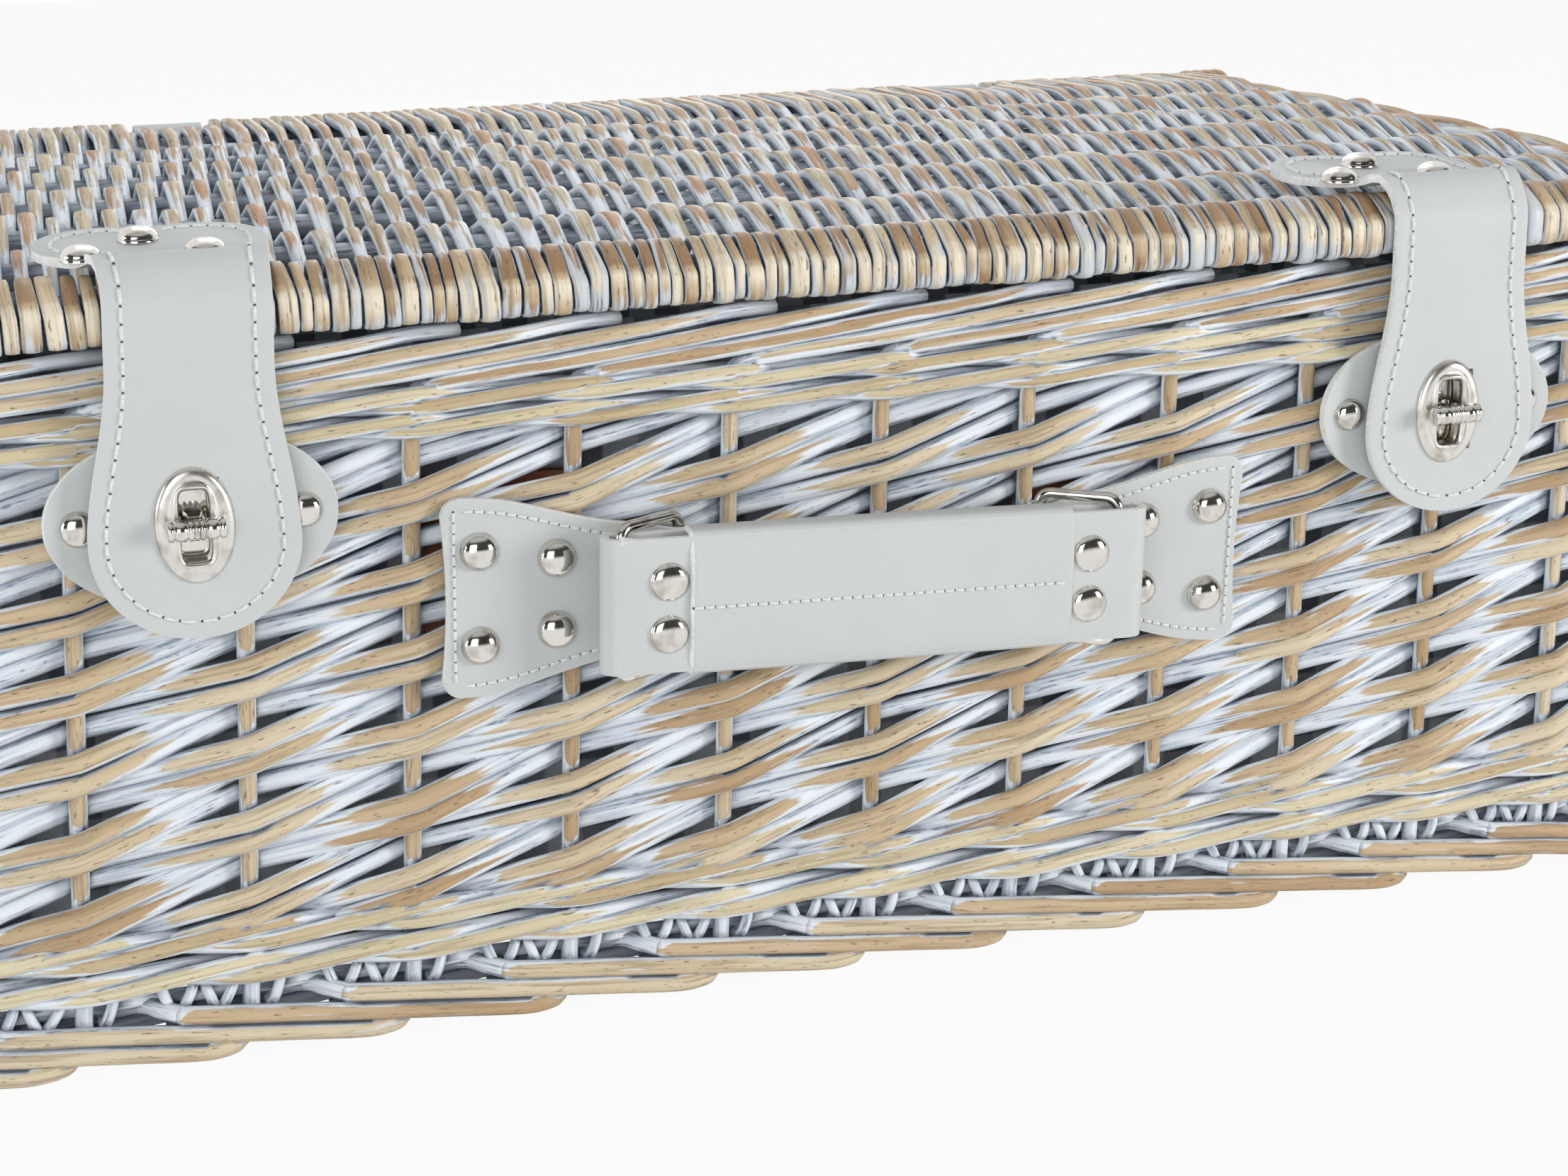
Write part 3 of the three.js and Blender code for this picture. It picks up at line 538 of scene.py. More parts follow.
def flowing(controls, per):
    """Points on a smooth line through the controls, so many to each stretch."""
    line = np.array(controls, float)
    ends = np.vstack([2 * line[0] - line[1], line, 2 * line[-1] - line[-2]])
    share = np.linspace(0, 1, per, endpoint=False)[:, None]
    parts = []
    for a, b, c, d in zip(ends, ends[1:], ends[2:], ends[3:]):
        bend = (2 * a - 5 * b + 4 * c - d) * share ** 2 + (3 * b - a - 3 * c + d) * share ** 3
        parts.append(0.5 * (2 * b + (c - a) * share + bend))
    return np.vstack([*parts, line[-1:]])


def unit(vectors):
    return vectors / np.maximum(np.linalg.norm(vectors, axis=-1, keepdims=True), 1e-9)


def squared(offsets, radii, power):
    """Offsets on a round section moved out to a squarer one: power 2 leaves it round."""
    size = np.maximum(radii, 0.01)[:, None]
    return size * np.sign(offsets) * np.abs(offsets / size) ** (2 / power)


def squarer(part, power):
    """A sine or cosine for a ring that is squarer than a circle: power 2 leaves it round."""
    return math.copysign(abs(part) ** (2 / power), part)


class Route:
    """A rod's middle line, its radii, the way out at each point, and how proud it stands there."""

    def __init__(self, points, radii, outward, proud, facing=1.0, tint=0.0):
        count = len(points)
        self.points = np.array(points, float)
        self.radii = np.array(np.broadcast_to(radii, count), float)
        self.outward = np.array(np.broadcast_to(outward, (count, 3)), float)
        self.proud = np.array(np.broadcast_to(proud, count), float)
        self.facing = np.array(np.broadcast_to(facing, count), float)
        # tint shifts the tone along the rod; the front wraps use it for a painted highlight and painted shade
        self.tint = np.array(np.broadcast_to(tint, count), float)

    def capped(self):
        """The same route with a point at each end that closes the rod."""
        lift = unit(self.points[[1, -2]] - self.points[[0, -1]]) * -0.25
        repeat = np.r_[0, 0:len(self.points), len(self.points) - 1]
        parts = (self.points, self.radii, self.outward, self.proud, self.facing, self.tint)
        grown = Route(*(part[repeat] for part in parts))
        grown.points[0] += lift[0]
        grown.points[-1] += lift[1]
        grown.radii[[0, -1]] = 0.02
        return grown


def rods(name, routes, paint, press=(1.0, 1.0), roundness=2, squareness=2.0, share=0.8):
    """One mesh of rods along the routes, pressed flat by two factors, with grain, tone and proud stored."""
    routes = [route.capped() for route in routes]
    curve = bpy.data.curves.new(name, "CURVE")
    curve.dimensions = "3D"
    curve.bevel_depth = 1.0
    curve.bevel_resolution = roundness
    for route in routes:
        spline = curve.splines.new("POLY")
        spline.points.add(len(route.points) - 1)
        spline.points.foreach_set("co", np.c_[route.points * METRE, np.ones(len(route.points))].ravel())
        spline.points.foreach_set("radius", route.radii * METRE)
    holder = link(curve, name)
    view = bpy.context.evaluated_depsgraph_get()
    mesh = bpy.data.meshes.new_from_object(holder.evaluated_get(view))
    bpy.data.objects.remove(holder)
    bpy.data.curves.remove(curve)
    sides = 4 + 2 * roundness
    places = np.empty(len(mesh.vertices) * 3)
    mesh.vertices.foreach_get("co", places)
    places = places.reshape(-1, sides, 3) / METRE
    grain = np.empty_like(places)
    proud = np.empty(places.shape[:2])
    tone = np.empty(places.shape[:2])
    first = 0
    for route in routes:
        last = first + len(route.points)
        centre = route.points[:, None]
        tangent = unit(np.gradient(route.points, axis=0))
        aside = unit(np.cross(tangent, route.outward))
        outward = np.cross(aside, tangent)
        offset = places[first:last] - centre
        out = squared((offset * outward[:, None]).sum(-1), route.radii, squareness)
        side = squared((offset * aside[:, None]).sum(-1), route.radii, squareness)
        places[first:last] = centre + press[0] * out[..., None] * outward[:, None]
        places[first:last] += press[1] * side[..., None] * aside[:, None]
        along = np.r_[0, np.cumsum(np.linalg.norm(np.diff(route.points, axis=0), axis=1))]
        grain[first:last, :, 0] = (along + chance.uniform(0, 4000))[:, None]
        grain[first:last, :, 1] = out
        grain[first:last, :, 2] = side
        surface = out / np.maximum(route.radii, 0.1)[:, None]
        proud[first:last] = route.proud[:, None] + share * route.facing[:, None] * surface
        # A random tone per rod, plus the route's tint, which on the front wraps is painted light
        tone[first:last] = chance.random() + route.tint[:, None]
        first = last
    mesh.vertices.foreach_set("co", (places * METRE).ravel())
    mesh.attributes.new("grain", "FLOAT_VECTOR", "POINT").data.foreach_set("vector", (grain * METRE).ravel())
    mesh.attributes.new("proud", "FLOAT", "POINT").data.foreach_set("value", proud.ravel())
    mesh.attributes.new("tone", "FLOAT", "POINT").data.foreach_set("value", tone.ravel())
    mesh.materials.clear()
    mesh.materials.append(paint)
    mesh.shade_smooth()
    return link(mesh, name)


def crevices(pieces):
    """Stores on each rod how far the rods near it close off the space in front of its surface; the willow
    paint darkens these places as painted shade with grime.
    """
    corners = []
    faces = []
    for piece in pieces:
        before = len(corners)
        corners += [vertex.co.copy() for vertex in piece.data.vertices]
        faces += [[before + i for i in face.vertices] for face in piece.data.polygons]
    tree = BVHTree.FromPolygons(corners, faces)
    reach = CREVICE_REACH * METRE
    for piece in pieces:
        closed = []
        for vertex in piece.data.vertices:
            out = vertex.normal
            aside = out.orthogonal().normalized() * CREVICE_TILT
            across = out.cross(aside)
            ways = (out, out + aside, out - aside, out + across, out - across)
            start = out * CREVICE_START * METRE
            near = 0.0
            for way in ways:
                distance = tree.ray_cast(vertex.co + start, way.normalized(), reach)[3]
                if distance is not None:
                    near += 1 - distance / reach
            closed.append(near / len(ways))
        piece.data.attributes.new("crevice", "FLOAT", "POINT").data.foreach_set("value", closed)


# Stations round the walls, counter-clockwise from the front left corner
WALL_LENGTHS = (2 * HALF_X, 2 * HALF_Y, 2 * HALF_X, 2 * HALF_Y)
PERIMETER = sum(WALL_LENGTHS)
WALL_WAYS = ((1, 0), (0, 1), (-1, 0), (0, -1))
WALL_CORNERS = ((-HALF_X, -HALF_Y), (HALF_X, -HALF_Y), (HALF_X, HALF_Y), (-HALF_X, HALF_Y))


def wall_stations():
    stations = []
    start = 0
    for wall, length in enumerate(WALL_LENGTHS):
        count = END_STAKES if wall % 2 else FRONT_STAKES
        shift = 0 if wall % 2 else FRONT_STAKE_SHIFT
        pitch = length / (count + 1)
        stations.append(start)
        stations += [start + length / 2 + shift + (i - (count - 1) / 2) * pitch for i in range(count)]
        start += length
    return stations


STATIONS = wall_stations()
CORNER_STATIONS = {0, FRONT_STAKES + 1, FRONT_STAKES + END_STAKES + 2, 2 * FRONT_STAKES + END_STAKES + 3}


def wall_point(station, out, level):
    """A point out from the walls' middle line at a station, whole or part, and the way out there."""
    whole = math.floor(station)
    near = STATIONS[whole % len(STATIONS)]
    far = STATIONS[(whole + 1) % len(STATIONS)]
    gap = (far - near) % PERIMETER
    along = near + gap * (station - whole)
    wall = 0
    while along >= WALL_LENGTHS[wall]:
        along -= WALL_LENGTHS[wall]
        wall = (wall + 1) % 4
    way = np.array(WALL_WAYS[wall])
    face = np.array((way[1], -way[0]))
    corner = np.array(WALL_CORNERS[wall])
    if wall == 0:
        share = (1 - along / WALL_LENGTHS[0]) * min(1, along / LEAN_START)
        along += FRONT_LEAN * share * (level - LEAN_LEVEL)
    middle = corner + way * along
    if along < CORNER_ROUND:
        turn = (0.5 + along / (2 * CORNER_ROUND)) * math.pi / 2
        face_from = -way
        centre = corner - CORNER_ROUND * (face_from + face)
        face = face_from * math.cos(turn) + face * math.sin(turn)
        middle = centre + face * CORNER_ROUND
    elif along > WALL_LENGTHS[wall] - CORNER_ROUND:
        turn = (along - WALL_LENGTHS[wall] + CORNER_ROUND) / (2 * CORNER_ROUND) * math.pi / 2
        centre = corner + way * WALL_LENGTHS[wall] - CORNER_ROUND * (face + way)
        face = face * math.cos(turn) + way * math.sin(turn)
        middle = centre + face * CORNER_ROUND
    x, y = middle + face * out
    return (x, y + MIDDLE_Y, level), face


def wall_route(stations, outs, levels, radii, lift=0.0, tip=RUBBED_UP):
    """A rod along the walls; the side of it that is rubbed bare faces out, tipped up or down."""
    found = [wall_point(*place) for place in zip(stations, outs, levels)]
    points = [point for point, face in found]
    faces = [(*face, tip) for point, face in found]
    return Route(points, radii, faces, lift + 0.5 * np.array(outs) / WEAVE_DEPTH)


def eased(steps, stops, values, ease):
    """Values met in straight stretches between the stops, with each corner rounded."""
    return sum(np.interp(steps + ease * shift, stops, values) for shift in (-1, -0.5, 0, 0.5, 1)) / 5


NEAR_STAKE = (-0.4, -0.22, -0.1, -0.04, 0, 0.04, 0.1, 0.22)


def woven(start, outs, levels, thick, thin, leads, ease=0.045):
    """A rod that passes the stations in turn, with the given way out and level at each."""
    stops = np.arange(-1, len(outs) + 1)
    first = -leads[0]
    last = len(outs) - 1 + leads[1]
    rise = levels[1] - levels[0]
    outs = np.r_[-outs[0], outs, -outs[-1]]
    levels = np.r_[levels[0] - rise, levels, levels[-1] + rise]
    levels = levels + np.array([chance.uniform(-0.5, 0.5) for level in levels])
    steps = np.array([stop + near for stop in stops for near in NEAR_STAKE])
    steps = np.r_[first, steps[(steps > first + 0.02) & (steps < last - 0.02)], last]
    share = np.linspace(0, 1, len(steps))
    radii = (thick + (thin - thick) * share) * chance.uniform(0.93, 1.07)
    outs = eased(steps, stops, outs, ease)
    levels = eased(steps, stops, levels, ease)
    return wall_route(start + steps, outs, levels, radii)


def pair_routes():
    routes = []
    rows = np.arange(PAIR_ROWS)
    outs = np.r_[np.where(rows % 2, -WEAVE_DEPTH, WEAVE_DEPTH), -WEAVE_DEPTH]
    levels = PAIR_LEVEL + PAIR_RISE * rows - np.where(rows % 2, 0, PAIR_SAG)
    levels = np.r_[levels, levels[-1] + 0.85 * PAIR_RISE]
    for station in range(len(STATIONS)):
        for side in (-1, 1):
            heights = levels + side * PAIR_SPREAD
            routes.append(woven(station, outs, heights, PAIR_THICK, PAIR_THIN, (0.95, 0)))
    return routes


def wale_routes(rows):
    """Rods in threes, each in front of two stakes and behind one, all the way round."""
    routes = []
    for level, swing, radius in rows:
        for phase in range(3):
            place = (np.arange(len(STATIONS) + 1) - phase) % 3
            outs = np.choose(place, (WEAVE_DEPTH, WEAVE_DEPTH, -WEAVE_DEPTH))
            levels = level + np.choose(place, (-swing, swing, 0))
            routes.append(woven(0, outs, levels, radius, radius, (0.1, 0.1), ease=0.14))
    return routes


RIM_LINE = ((0, 0, 160), (0, 0.1, 168), (0, 0.3, 174), (0.06, 1.8, 177.6), (0.3, 4.4, 179.9), (1, 5.0, 182.8),
            (2, 5.0, 187.4), (2.6, 4.4, 190.1), (3, 1.0, 191.6), (3.3, -4.2, 191.0))


def stake_routes():
    """Each stake rises through the weave, then its tip lies down to the right as the rim."""
    routes = []
    for station in range(len(STATIONS)):
        corner = station in CORNER_STATIONS
        upright = [(0, 0, STAKE_FOOT + (RIM_LINE[0][2] - STAKE_FOOT) * i / 16) for i in range(16)]
        line = flowing([*upright, *RIM_LINE], 5)
        line[:, 2] += chance.uniform(-0.3, 0.3)
        thick = POST_RADIUS if corner else STAKE_RADIUS
        radii = np.interp(line[:, 2], (0, 170, 184, 192), (thick, thick, STAKE_RADIUS, 2.0))
        level = line[:, 2]
        bare = 0.25 + 0.25 * np.cos(math.pi * (level - PAIR_LEVEL - PAIR_RISE) / PAIR_RISE)
        bare = np.where(level < RIM_START, bare, RIM_PROUD)
        bare = np.where(level < PAIR_LEVEL - PAIR_RISE, STAKE_FOOT_PROUD, bare)
        routes.append(wall_route(station + line[:, 0], line[:, 1], level, radii, lift=bare))
    return routes


FOOT_LINE = ((-1.5, -5.6, 5.2), (-0.8, -5.8, 8.8), (0, -5.6, 12.6), (0.32, -3.4, 15.0), (0.46, 1.2, 14.5),
             (0.56, 4.1, 13.7), (0.64, 4.8, 13.2), (1.2, 5.2, 10.4), (1.7, 5.5, 7.85), (2.2, 5.6, 5.3),
             (2.66, 5.4, 2.8), (2.82, 4.7, 2.7), (2.91, 2.0, 2.7), (2.94, -3.0, 2.75), (2.94, -9.0, 2.9))
SILL_WRAPS = ((0.15, 0.03), (0.5, -0.04), (0.6, 0.05), (0.76, -0.04), (0.85, 0.05))
SILL_TURN = ((-1.6, -6.0, -3.6), (-1.2, -1.0, -4.6), (-0.4, 1.2, -2.6), (0.6, 1.2, 1.6), (1.4, -2.0, 5.0))


def foot_routes():
    routes = []
    for station in range(len(STATIONS)):
        line = flowing(FOOT_LINE, 5)
        radii = FOOT_RADIUS * chance.uniform(0.98, 1.02)
        lift = np.interp(line[:, 0], (0.3, 0.54, 0.62), (-1.2, -0.7, 0.1))
        routes.append(wall_route(station + line[:, 0], line[:, 1], line[:, 2], radii, lift, -RUBBED_UP))
    return routes


def sill_routes():
    """The rod that carries the floor along each wall, with short slanted wraps over it."""
    steps = np.linspace(0, len(STATIONS), len(STATIONS) * 6 + 1)
    outs = np.full(len(steps), SILL_OUT)
    levels = np.full(len(steps), SILL_LEVEL)
    routes = [wall_route(steps, outs, levels, SILL_RADIUS, lift=-0.6)]
    for station in range(len(STATIONS)):
        for place, lean in SILL_WRAPS:
            line = flowing(np.array(SILL_TURN) * (lean, 1, 1) + (place, 0, SILL_LEVEL), 4)
            along, out, level = line.T
            routes.append(wall_route(station + along, out, level, SILL_WRAP_RADIUS, lift=-0.5))
    return routes


def base_routes():
    routes = []
    stick_y = np.linspace(-BASE_HALF_Y + 8, BASE_HALF_Y - 8, BASE_STICKS)
    for y in stick_y:
        line = [(x, MIDDLE_Y + y, BASE_LEVEL) for x in np.linspace(-BASE_HALF_X, BASE_HALF_X, 12)]
        routes.append(Route(line, BASE_STICK_RADIUS, (0, 0, -1), 0.3))
    count = int(2 * BASE_HALF_X / BASE_PITCH)
    stops = np.r_[-BASE_HALF_Y, stick_y, BASE_HALF_Y]
    for i in range(count):
        x = (i - (count - 1) / 2) * BASE_PITCH
        signs = np.array([0, *((-1) ** (i + k) for k in range(BASE_STICKS)), 0])
        y = np.linspace(-BASE_HALF_Y, BASE_HALF_Y, 57)
        z = eased(y, stops, signs * BASE_CREST, 9.0)
        line = np.c_[np.full(len(y), x), MIDDLE_Y + y, BASE_LEVEL + z]
        proud = 0.55 * np.abs(z) / BASE_CREST
        routes.append(Route(line, BASE_ROD_RADIUS, (0, 0, -1), proud, np.where(z > 0, -1, 1)))
    return routes


def lid_stick(number):
    return FRONT_STICK + (BACK_STICK - FRONT_STICK) * number / (LID_STICKS - 1)


def round_stick(stick, degrees):
    turns = [(squarer(math.cos(a), WRAP_SQUARENESS), squarer(math.sin(a), WRAP_SQUARENESS))
             for a in np.radians(degrees)]
    return [(stick + WRAP * c, WRAP * s) for c, s in turns]


WRAP_LINE = ((17, -4.6), (9, -6.2), (2, -7.2), (-4, -7.4), (-6.7, -6.5), (-7.3, -4.8), (-7.4, -2),
             (-7.35, -0.2), (-7.0, 0.8), (-6.1, 1.8), (-3.4, 4.3), (-0.6, 6.5), (2, 7.4), (5, 7.0),
             (9, 4.6), (13, 1.4), (18, -2.2))


def side_by_side(count, spread):
    """The middles and widths of rods of uneven width that fill the lid from end to end."""
    widths = np.array([chance.uniform(*spread) for rod in range(count)])
    widths *= 2 * LID_HALF / widths.sum()
    return list(zip(np.cumsum(widths) - widths / 2 - LID_HALF, widths))


def wrap_routes():
    """Flat rods round the front stick: an upright face, a slope, a crest, and a tail that dips behind it;
    their tone carries a painted highlight at the kink and painted shade on the slope.
    """
    routes = []
    for x, width in side_by_side(WRAPS, WRAP_SPREAD):
        y, z = flowing(WRAP_LINE, 2).T
        lean = chance.uniform(-0.2, 0.4) * z / WRAP + chance.uniform(0.2, 1.3) * np.maximum(z, 0) / WRAP
        kink = chance.uniform(-1.2, 1.2) * np.interp(z, (-6, -1, 2, 6), (0, 1, 1, 0))
        slack = chance.uniform(-0.5, 0.3) * np.interp(z, (-6, 0), (1, 0))
        points = np.c_[x - lean, FRONT_STICK + y, LID_LEVEL + z + kink + slack]
        tangent = unit(np.gradient(points, axis=0))
        outward = np.c_[np.zeros(len(y)), -tangent[:, 2], tangent[:, 1]]
        swell = np.interp(y, (-7, -3, 3, 18), (0.96, 0.9, 0.76, 0.72)) * chance.uniform(0.95, 1.03)
        proud = np.interp(y, (-8, 6, 14), (0.4, 0.35, -0.3)) + chance.uniform(-0.25, 0.1)
        proud -= np.interp(z, (-7, -2), (0.3, 0))
        # Painted light in the tone: palest near the kink as a painted highlight, darker brown on the slope,
        # crest and tail as painted shade, and a little darker at the foot of the face
        front = z + np.where(y > 3, 20, 0)
        tint = np.interp(front, (-7, -3, 0.5, 2.5, 7), (0.15, -0.2, -0.5, 0.3, 0.45))
        routes.append(Route(points, width / (2 * WRAP_PRESS[1]) * swell, outward, proud, 1.0, tint))
    return routes


def crown(y):
    """How far the lid bulges over the stretch between its front and back stick."""
    share = np.clip((np.asarray(y) - FRONT_STICK) / (BACK_STICK - FRONT_STICK), 0, 1)
    return LID_CROWN * np.sin(math.pi * share)


def weaver_routes():
    """Flat rods tucked behind the front wraps, over and under the sticks and round the back stick."""
    routes = []
    inner = [lid_stick(k) for k in range(1, LID_STICKS - 1)]
    places = np.array([stick + step for stick in (*inner, BACK_STICK) for step in CREST_STEPS])
    for i, (x, width) in enumerate(side_by_side(WEAVERS, WEAVER_SPREAD)):
        notched = abs(abs(x) - HINGE_SPREAD) < HINGE_NOTCH
        heights = [TUCK_LEVEL]
        for k in range(1, LID_STICKS - 1):
            heights.append(CREST * chance.uniform(0.88, 1.12) if (i + k) % 2 else -CREST)
        if notched:
            stops = [FRONT_STICK + TUCK, *inner, BACK_STICK - 15, BACK_STICK]
            heights += [CREST, -CREST]
            y = places[places < BACK_STICK - 9]
        else:
            stops = [FRONT_STICK + TUCK, *inner, BACK_STICK]
            heights += [WRAP]
            y = places[places < BACK_STICK - 3]
        y = np.r_[FRONT_STICK + TUCK, y]
        line = list(zip(y, eased(y, stops, heights, CREST_EASE)))
        crossing = len(line)
        if not notched:
            line += round_stick(BACK_STICK, range(90, -91, -20))
            line += [(BACK_STICK - 7, -6.6), (BACK_STICK - 16, -5.6)]
        y, z = np.array(line).T
        sway = np.interp(y, stops, [chance.uniform(-0.35, 0.35) for stop in stops])
        points = np.c_[x + sway, y, LID_LEVEL + z + crown(y)]
        tangent = unit(np.gradient(points, axis=0))
        outward = np.c_[np.zeros(len(y)), -tangent[:, 2], tangent[:, 1]]
        proud = WEAVER_PROUD * np.abs(z) / CREST
        facing = np.where(z > 0, 1.0, -1.0)
        proud[:TUCKED] = WEAVER_PROUD * z[:TUCKED] / CREST
        facing[:TUCKED] = 1.0
        swell = np.interp(np.abs(z), (0, CREST), (CROSSING_PINCH, CREST_SWELL))
        proud[crossing:] = WEAVER_PROUD
        facing[crossing:] = 1.0
        swell[crossing:] = 0.98
        routes.append(Route(points, width / (2 * WEAVER_PRESS[1]) * swell, outward, proud, facing))
    return routes


def border_line(y, run, side):
    """The end of a stick: it bends to the front and lies along the lid's end, over the ends before it."""
    controls = [(-5, 0, 0), (-1, 1.5, 0.3), (1.2, 8, 1.2), (3, 24, 3.0), (BORDER_SWELL, 0.5 * run, 4.2),
                (BORDER_SWELL + 1, 0.75 * run, 1.6), (BORDER_SWELL, run - 6, -2.6), (2, run, -4.2)]
    sink = np.linspace(1, 0, len(controls)) * crown(y)
    return [(side * (BORDER_X + out), y - back, LID_LEVEL + up + rise)
            for (out, back, up), rise in zip(controls, sink)]


def stick_routes(numbers):
    routes = []
    pitch = (BACK_STICK - FRONT_STICK) / (LID_STICKS - 1)
    for number in numbers:
        y = lid_stick(number)
        inner = [(x, y, LID_LEVEL + crown(y)) for x in np.linspace(-BORDER_X + 12, BORDER_X - 12, 14)]
        run = min(BORDER_RUN * pitch, y - FRONT_STICK + 2)
        if number == 0:
            line = flowing([(-BORDER_X - 3, y, LID_LEVEL), *inner, (BORDER_X + 3, y, LID_LEVEL)], 4)
        else:
            line = flowing([*border_line(y, run, -1)[::-1], *inner, *border_line(y, run, 1)], 6)
        x = np.abs(line[:, 0])
        radii = np.interp(x, (BORDER_X - 14, BORDER_X, BORDER_X + 6), (STICK_RADIUS, 3.6, 3.0))
        proud = np.interp(x, (BORDER_X - 6, BORDER_X + 3), (-0.9, 0.4))
        routes.append(Route(line, radii, (0, 0, 1), proud))
    return routes


def corner_wraps():
    """Turns of rod round the back stick at the lid's two back corners."""
    routes = []
    for side in (-1, 1):
        for turn in range(CORNER_TURNS):
            x = side * (LID_HALF - 2 + turn * CORNER_TURN_PITCH)
            ring = round_stick(BACK_STICK, range(-120, 241, 18))
            lean = np.linspace(-1.4, 1.4, len(ring))
            points = [(x + s, y, LID_LEVEL + z) for s, (y, z) in zip(lean, ring)]
            faces = [(0, y - BACK_STICK, z) for y, z in ring]
            routes.append(Route(points, CORNER_TURN_RADIUS, unit(np.array(faces, float)), 0.5))
    return routes


WALL_NODES = {kind: [f"{wall}_{kind}" for wall in ("front", "back", "left", "right")]
              for kind in ("weave", "stakes", "foot")}
basket_rods = {
    "wall_pairs": rods("wall_pairs", pair_routes(), wall_paint),
    "bottom_wale": rods("bottom_wale", wale_routes(BOTTOM_WALE), wale_paint),
    "top_wale": rods("top_wale", wale_routes(TOP_WALE), wale_paint),
    "stakes_and_rim": rods("stakes_and_rim", stake_routes(), wall_paint),
    "foot_border": rods("foot_border", foot_routes(), wall_paint),
    "floor_sill": rods("floor_sill", sill_routes(), wall_paint),
    "woven_floor": rods("woven_floor", base_routes(), wall_paint),
}
FLAT_ROD = {"squareness": WEAVER_SQUARENESS, "share": 0.7}
lid_rods = {
    "lid_weavers": rods("lid_weavers", weaver_routes(), lid_paint, WEAVER_PRESS, **FLAT_ROD),
    "lid_front_wraps": rods("lid_front_wraps", wrap_routes(), wrap_paint, WRAP_PRESS, **FLAT_ROD),
    "lid_sticks": rods("lid_sticks", stick_routes(range(LID_STICKS - 1)), lid_paint),
    "lid_hinge_stick": rods("lid_hinge_stick", stick_routes([LID_STICKS - 1]), lid_paint),
    "lid_corner_wraps": rods("lid_corner_wraps", corner_wraps(), lid_paint),
}
STANDS_FOR = {
    "wall_pairs": WALL_NODES["weave"],
    "stakes_and_rim": WALL_NODES["stakes"],
    "foot_border": WALL_NODES["foot"],
    "woven_floor": ["base_weave"],
    "lid_weavers": ["lid_weave"],
    "lid_sticks": ["lid_left_border", "lid_right_border"],
    "lid_hinge_stick": ["lid_back_stick"],
}
for body, made in (("basket", basket_rods), ("lid", lid_rods)):
    crevices(list(made.values()))
    for name, piece in made.items():
        belongs(piece, body, "washed_willow", *STANDS_FOR.get(name, ()))


def sheet(name, flat, place, thickness, hole=None):
    """Leather with a pale cut edge: a grid whose points lie where place() puts the flat shape."""
    rows, columns = flat.shape[:2]
    shape = bmesh.new()
    bmesh.ops.create_grid(shape, x_segments=columns - 1, y_segments=rows - 1, size=1.0)
    for vertex in shape.verts:
        column = round((vertex.co.x + 1) / 2 * (columns - 1))
        row = round((vertex.co.y + 1) / 2 * (rows - 1))
        vertex.co = Vector((*flat[row, column], 0))
    if hole:
        cut = [face for face in shape.faces if hole(*face.calc_center_median().xy)]
        bmesh.ops.delete(shape, geom=cut, context="FACES")
    for vertex in shape.verts:
        vertex.co = Vector(place(vertex.co.x, vertex.co.y, 0.0)) * METRE
    piece = finished(name, shape, leather, leather_edge)
    thick = piece.modifiers.new("thickness", "SOLIDIFY")
    thick.thickness = thickness * METRE
    thick.offset = 0
    thick.material_offset_rim = 1
    soft = piece.modifiers.new("soft_edges", "BEVEL")
    soft.width = 0.22 * thickness * METRE
    soft.segments = 3
    soft.limit_method = "ANGLE"
    soft.angle_limit = math.radians(60)
    soft.material = 1
    return settle(piece)


def resampled(path, pitch):
    """Points a pitch apart along a path."""
    path = np.array(path, float)
    along = np.r_[0, np.cumsum(np.linalg.norm(np.diff(path, axis=0), axis=1))]
    places = np.arange(0, along[-1], pitch)
    return np.c_[tuple(np.interp(places, along, path[:, axis]) for axis in range(path.shape[1]))]


def inset(path, depth):
    """The path moved to its left by the depth."""
    path = np.array(path, float)
    way = unit(np.gradient(path, axis=0))
    return path + depth * np.c_[-way[:, 1], way[:, 0]]


def stitches(name, paths, place, pitch):
    """Pale stitches along paths in the flat shape, with a dark dot of painted shade for the needle hole
    between one and the next.
    """
    routes = []
    for path in paths:
        fine = resampled(path, pitch / 10)
        for start in range(0, len(fine) - 10, 10):
            spots = fine[[start + 1, start + 2, start + 5, start + 8, start + 9]]
            lifts = (-0.3, 0.1, 0.24, 0.1, -0.3)
            points = np.array([place(x, s, lift) for (x, s), lift in zip(spots, lifts)])
            raised = np.array([place(x, s, lift + 1.0) for (x, s), lift in zip(spots, lifts)])
            routes.append(Route(points, STITCH_RADIUS, unit(raised - points), 2.0))
            # A short dark rod in the needle hole stands for its shade
            hole = np.array([place(*fine[start], lift) for lift in (-0.4, -0.1, 0.06)])
            routes.append(Route(hole, HOLE_RADIUS, unit(points[0] - hole[0]), -2.0))
    return rods(name, routes, thread, roundness=1)


def joined(*paths):
    return np.vstack([paths[0], *(path[1:] for path in paths[1:])])


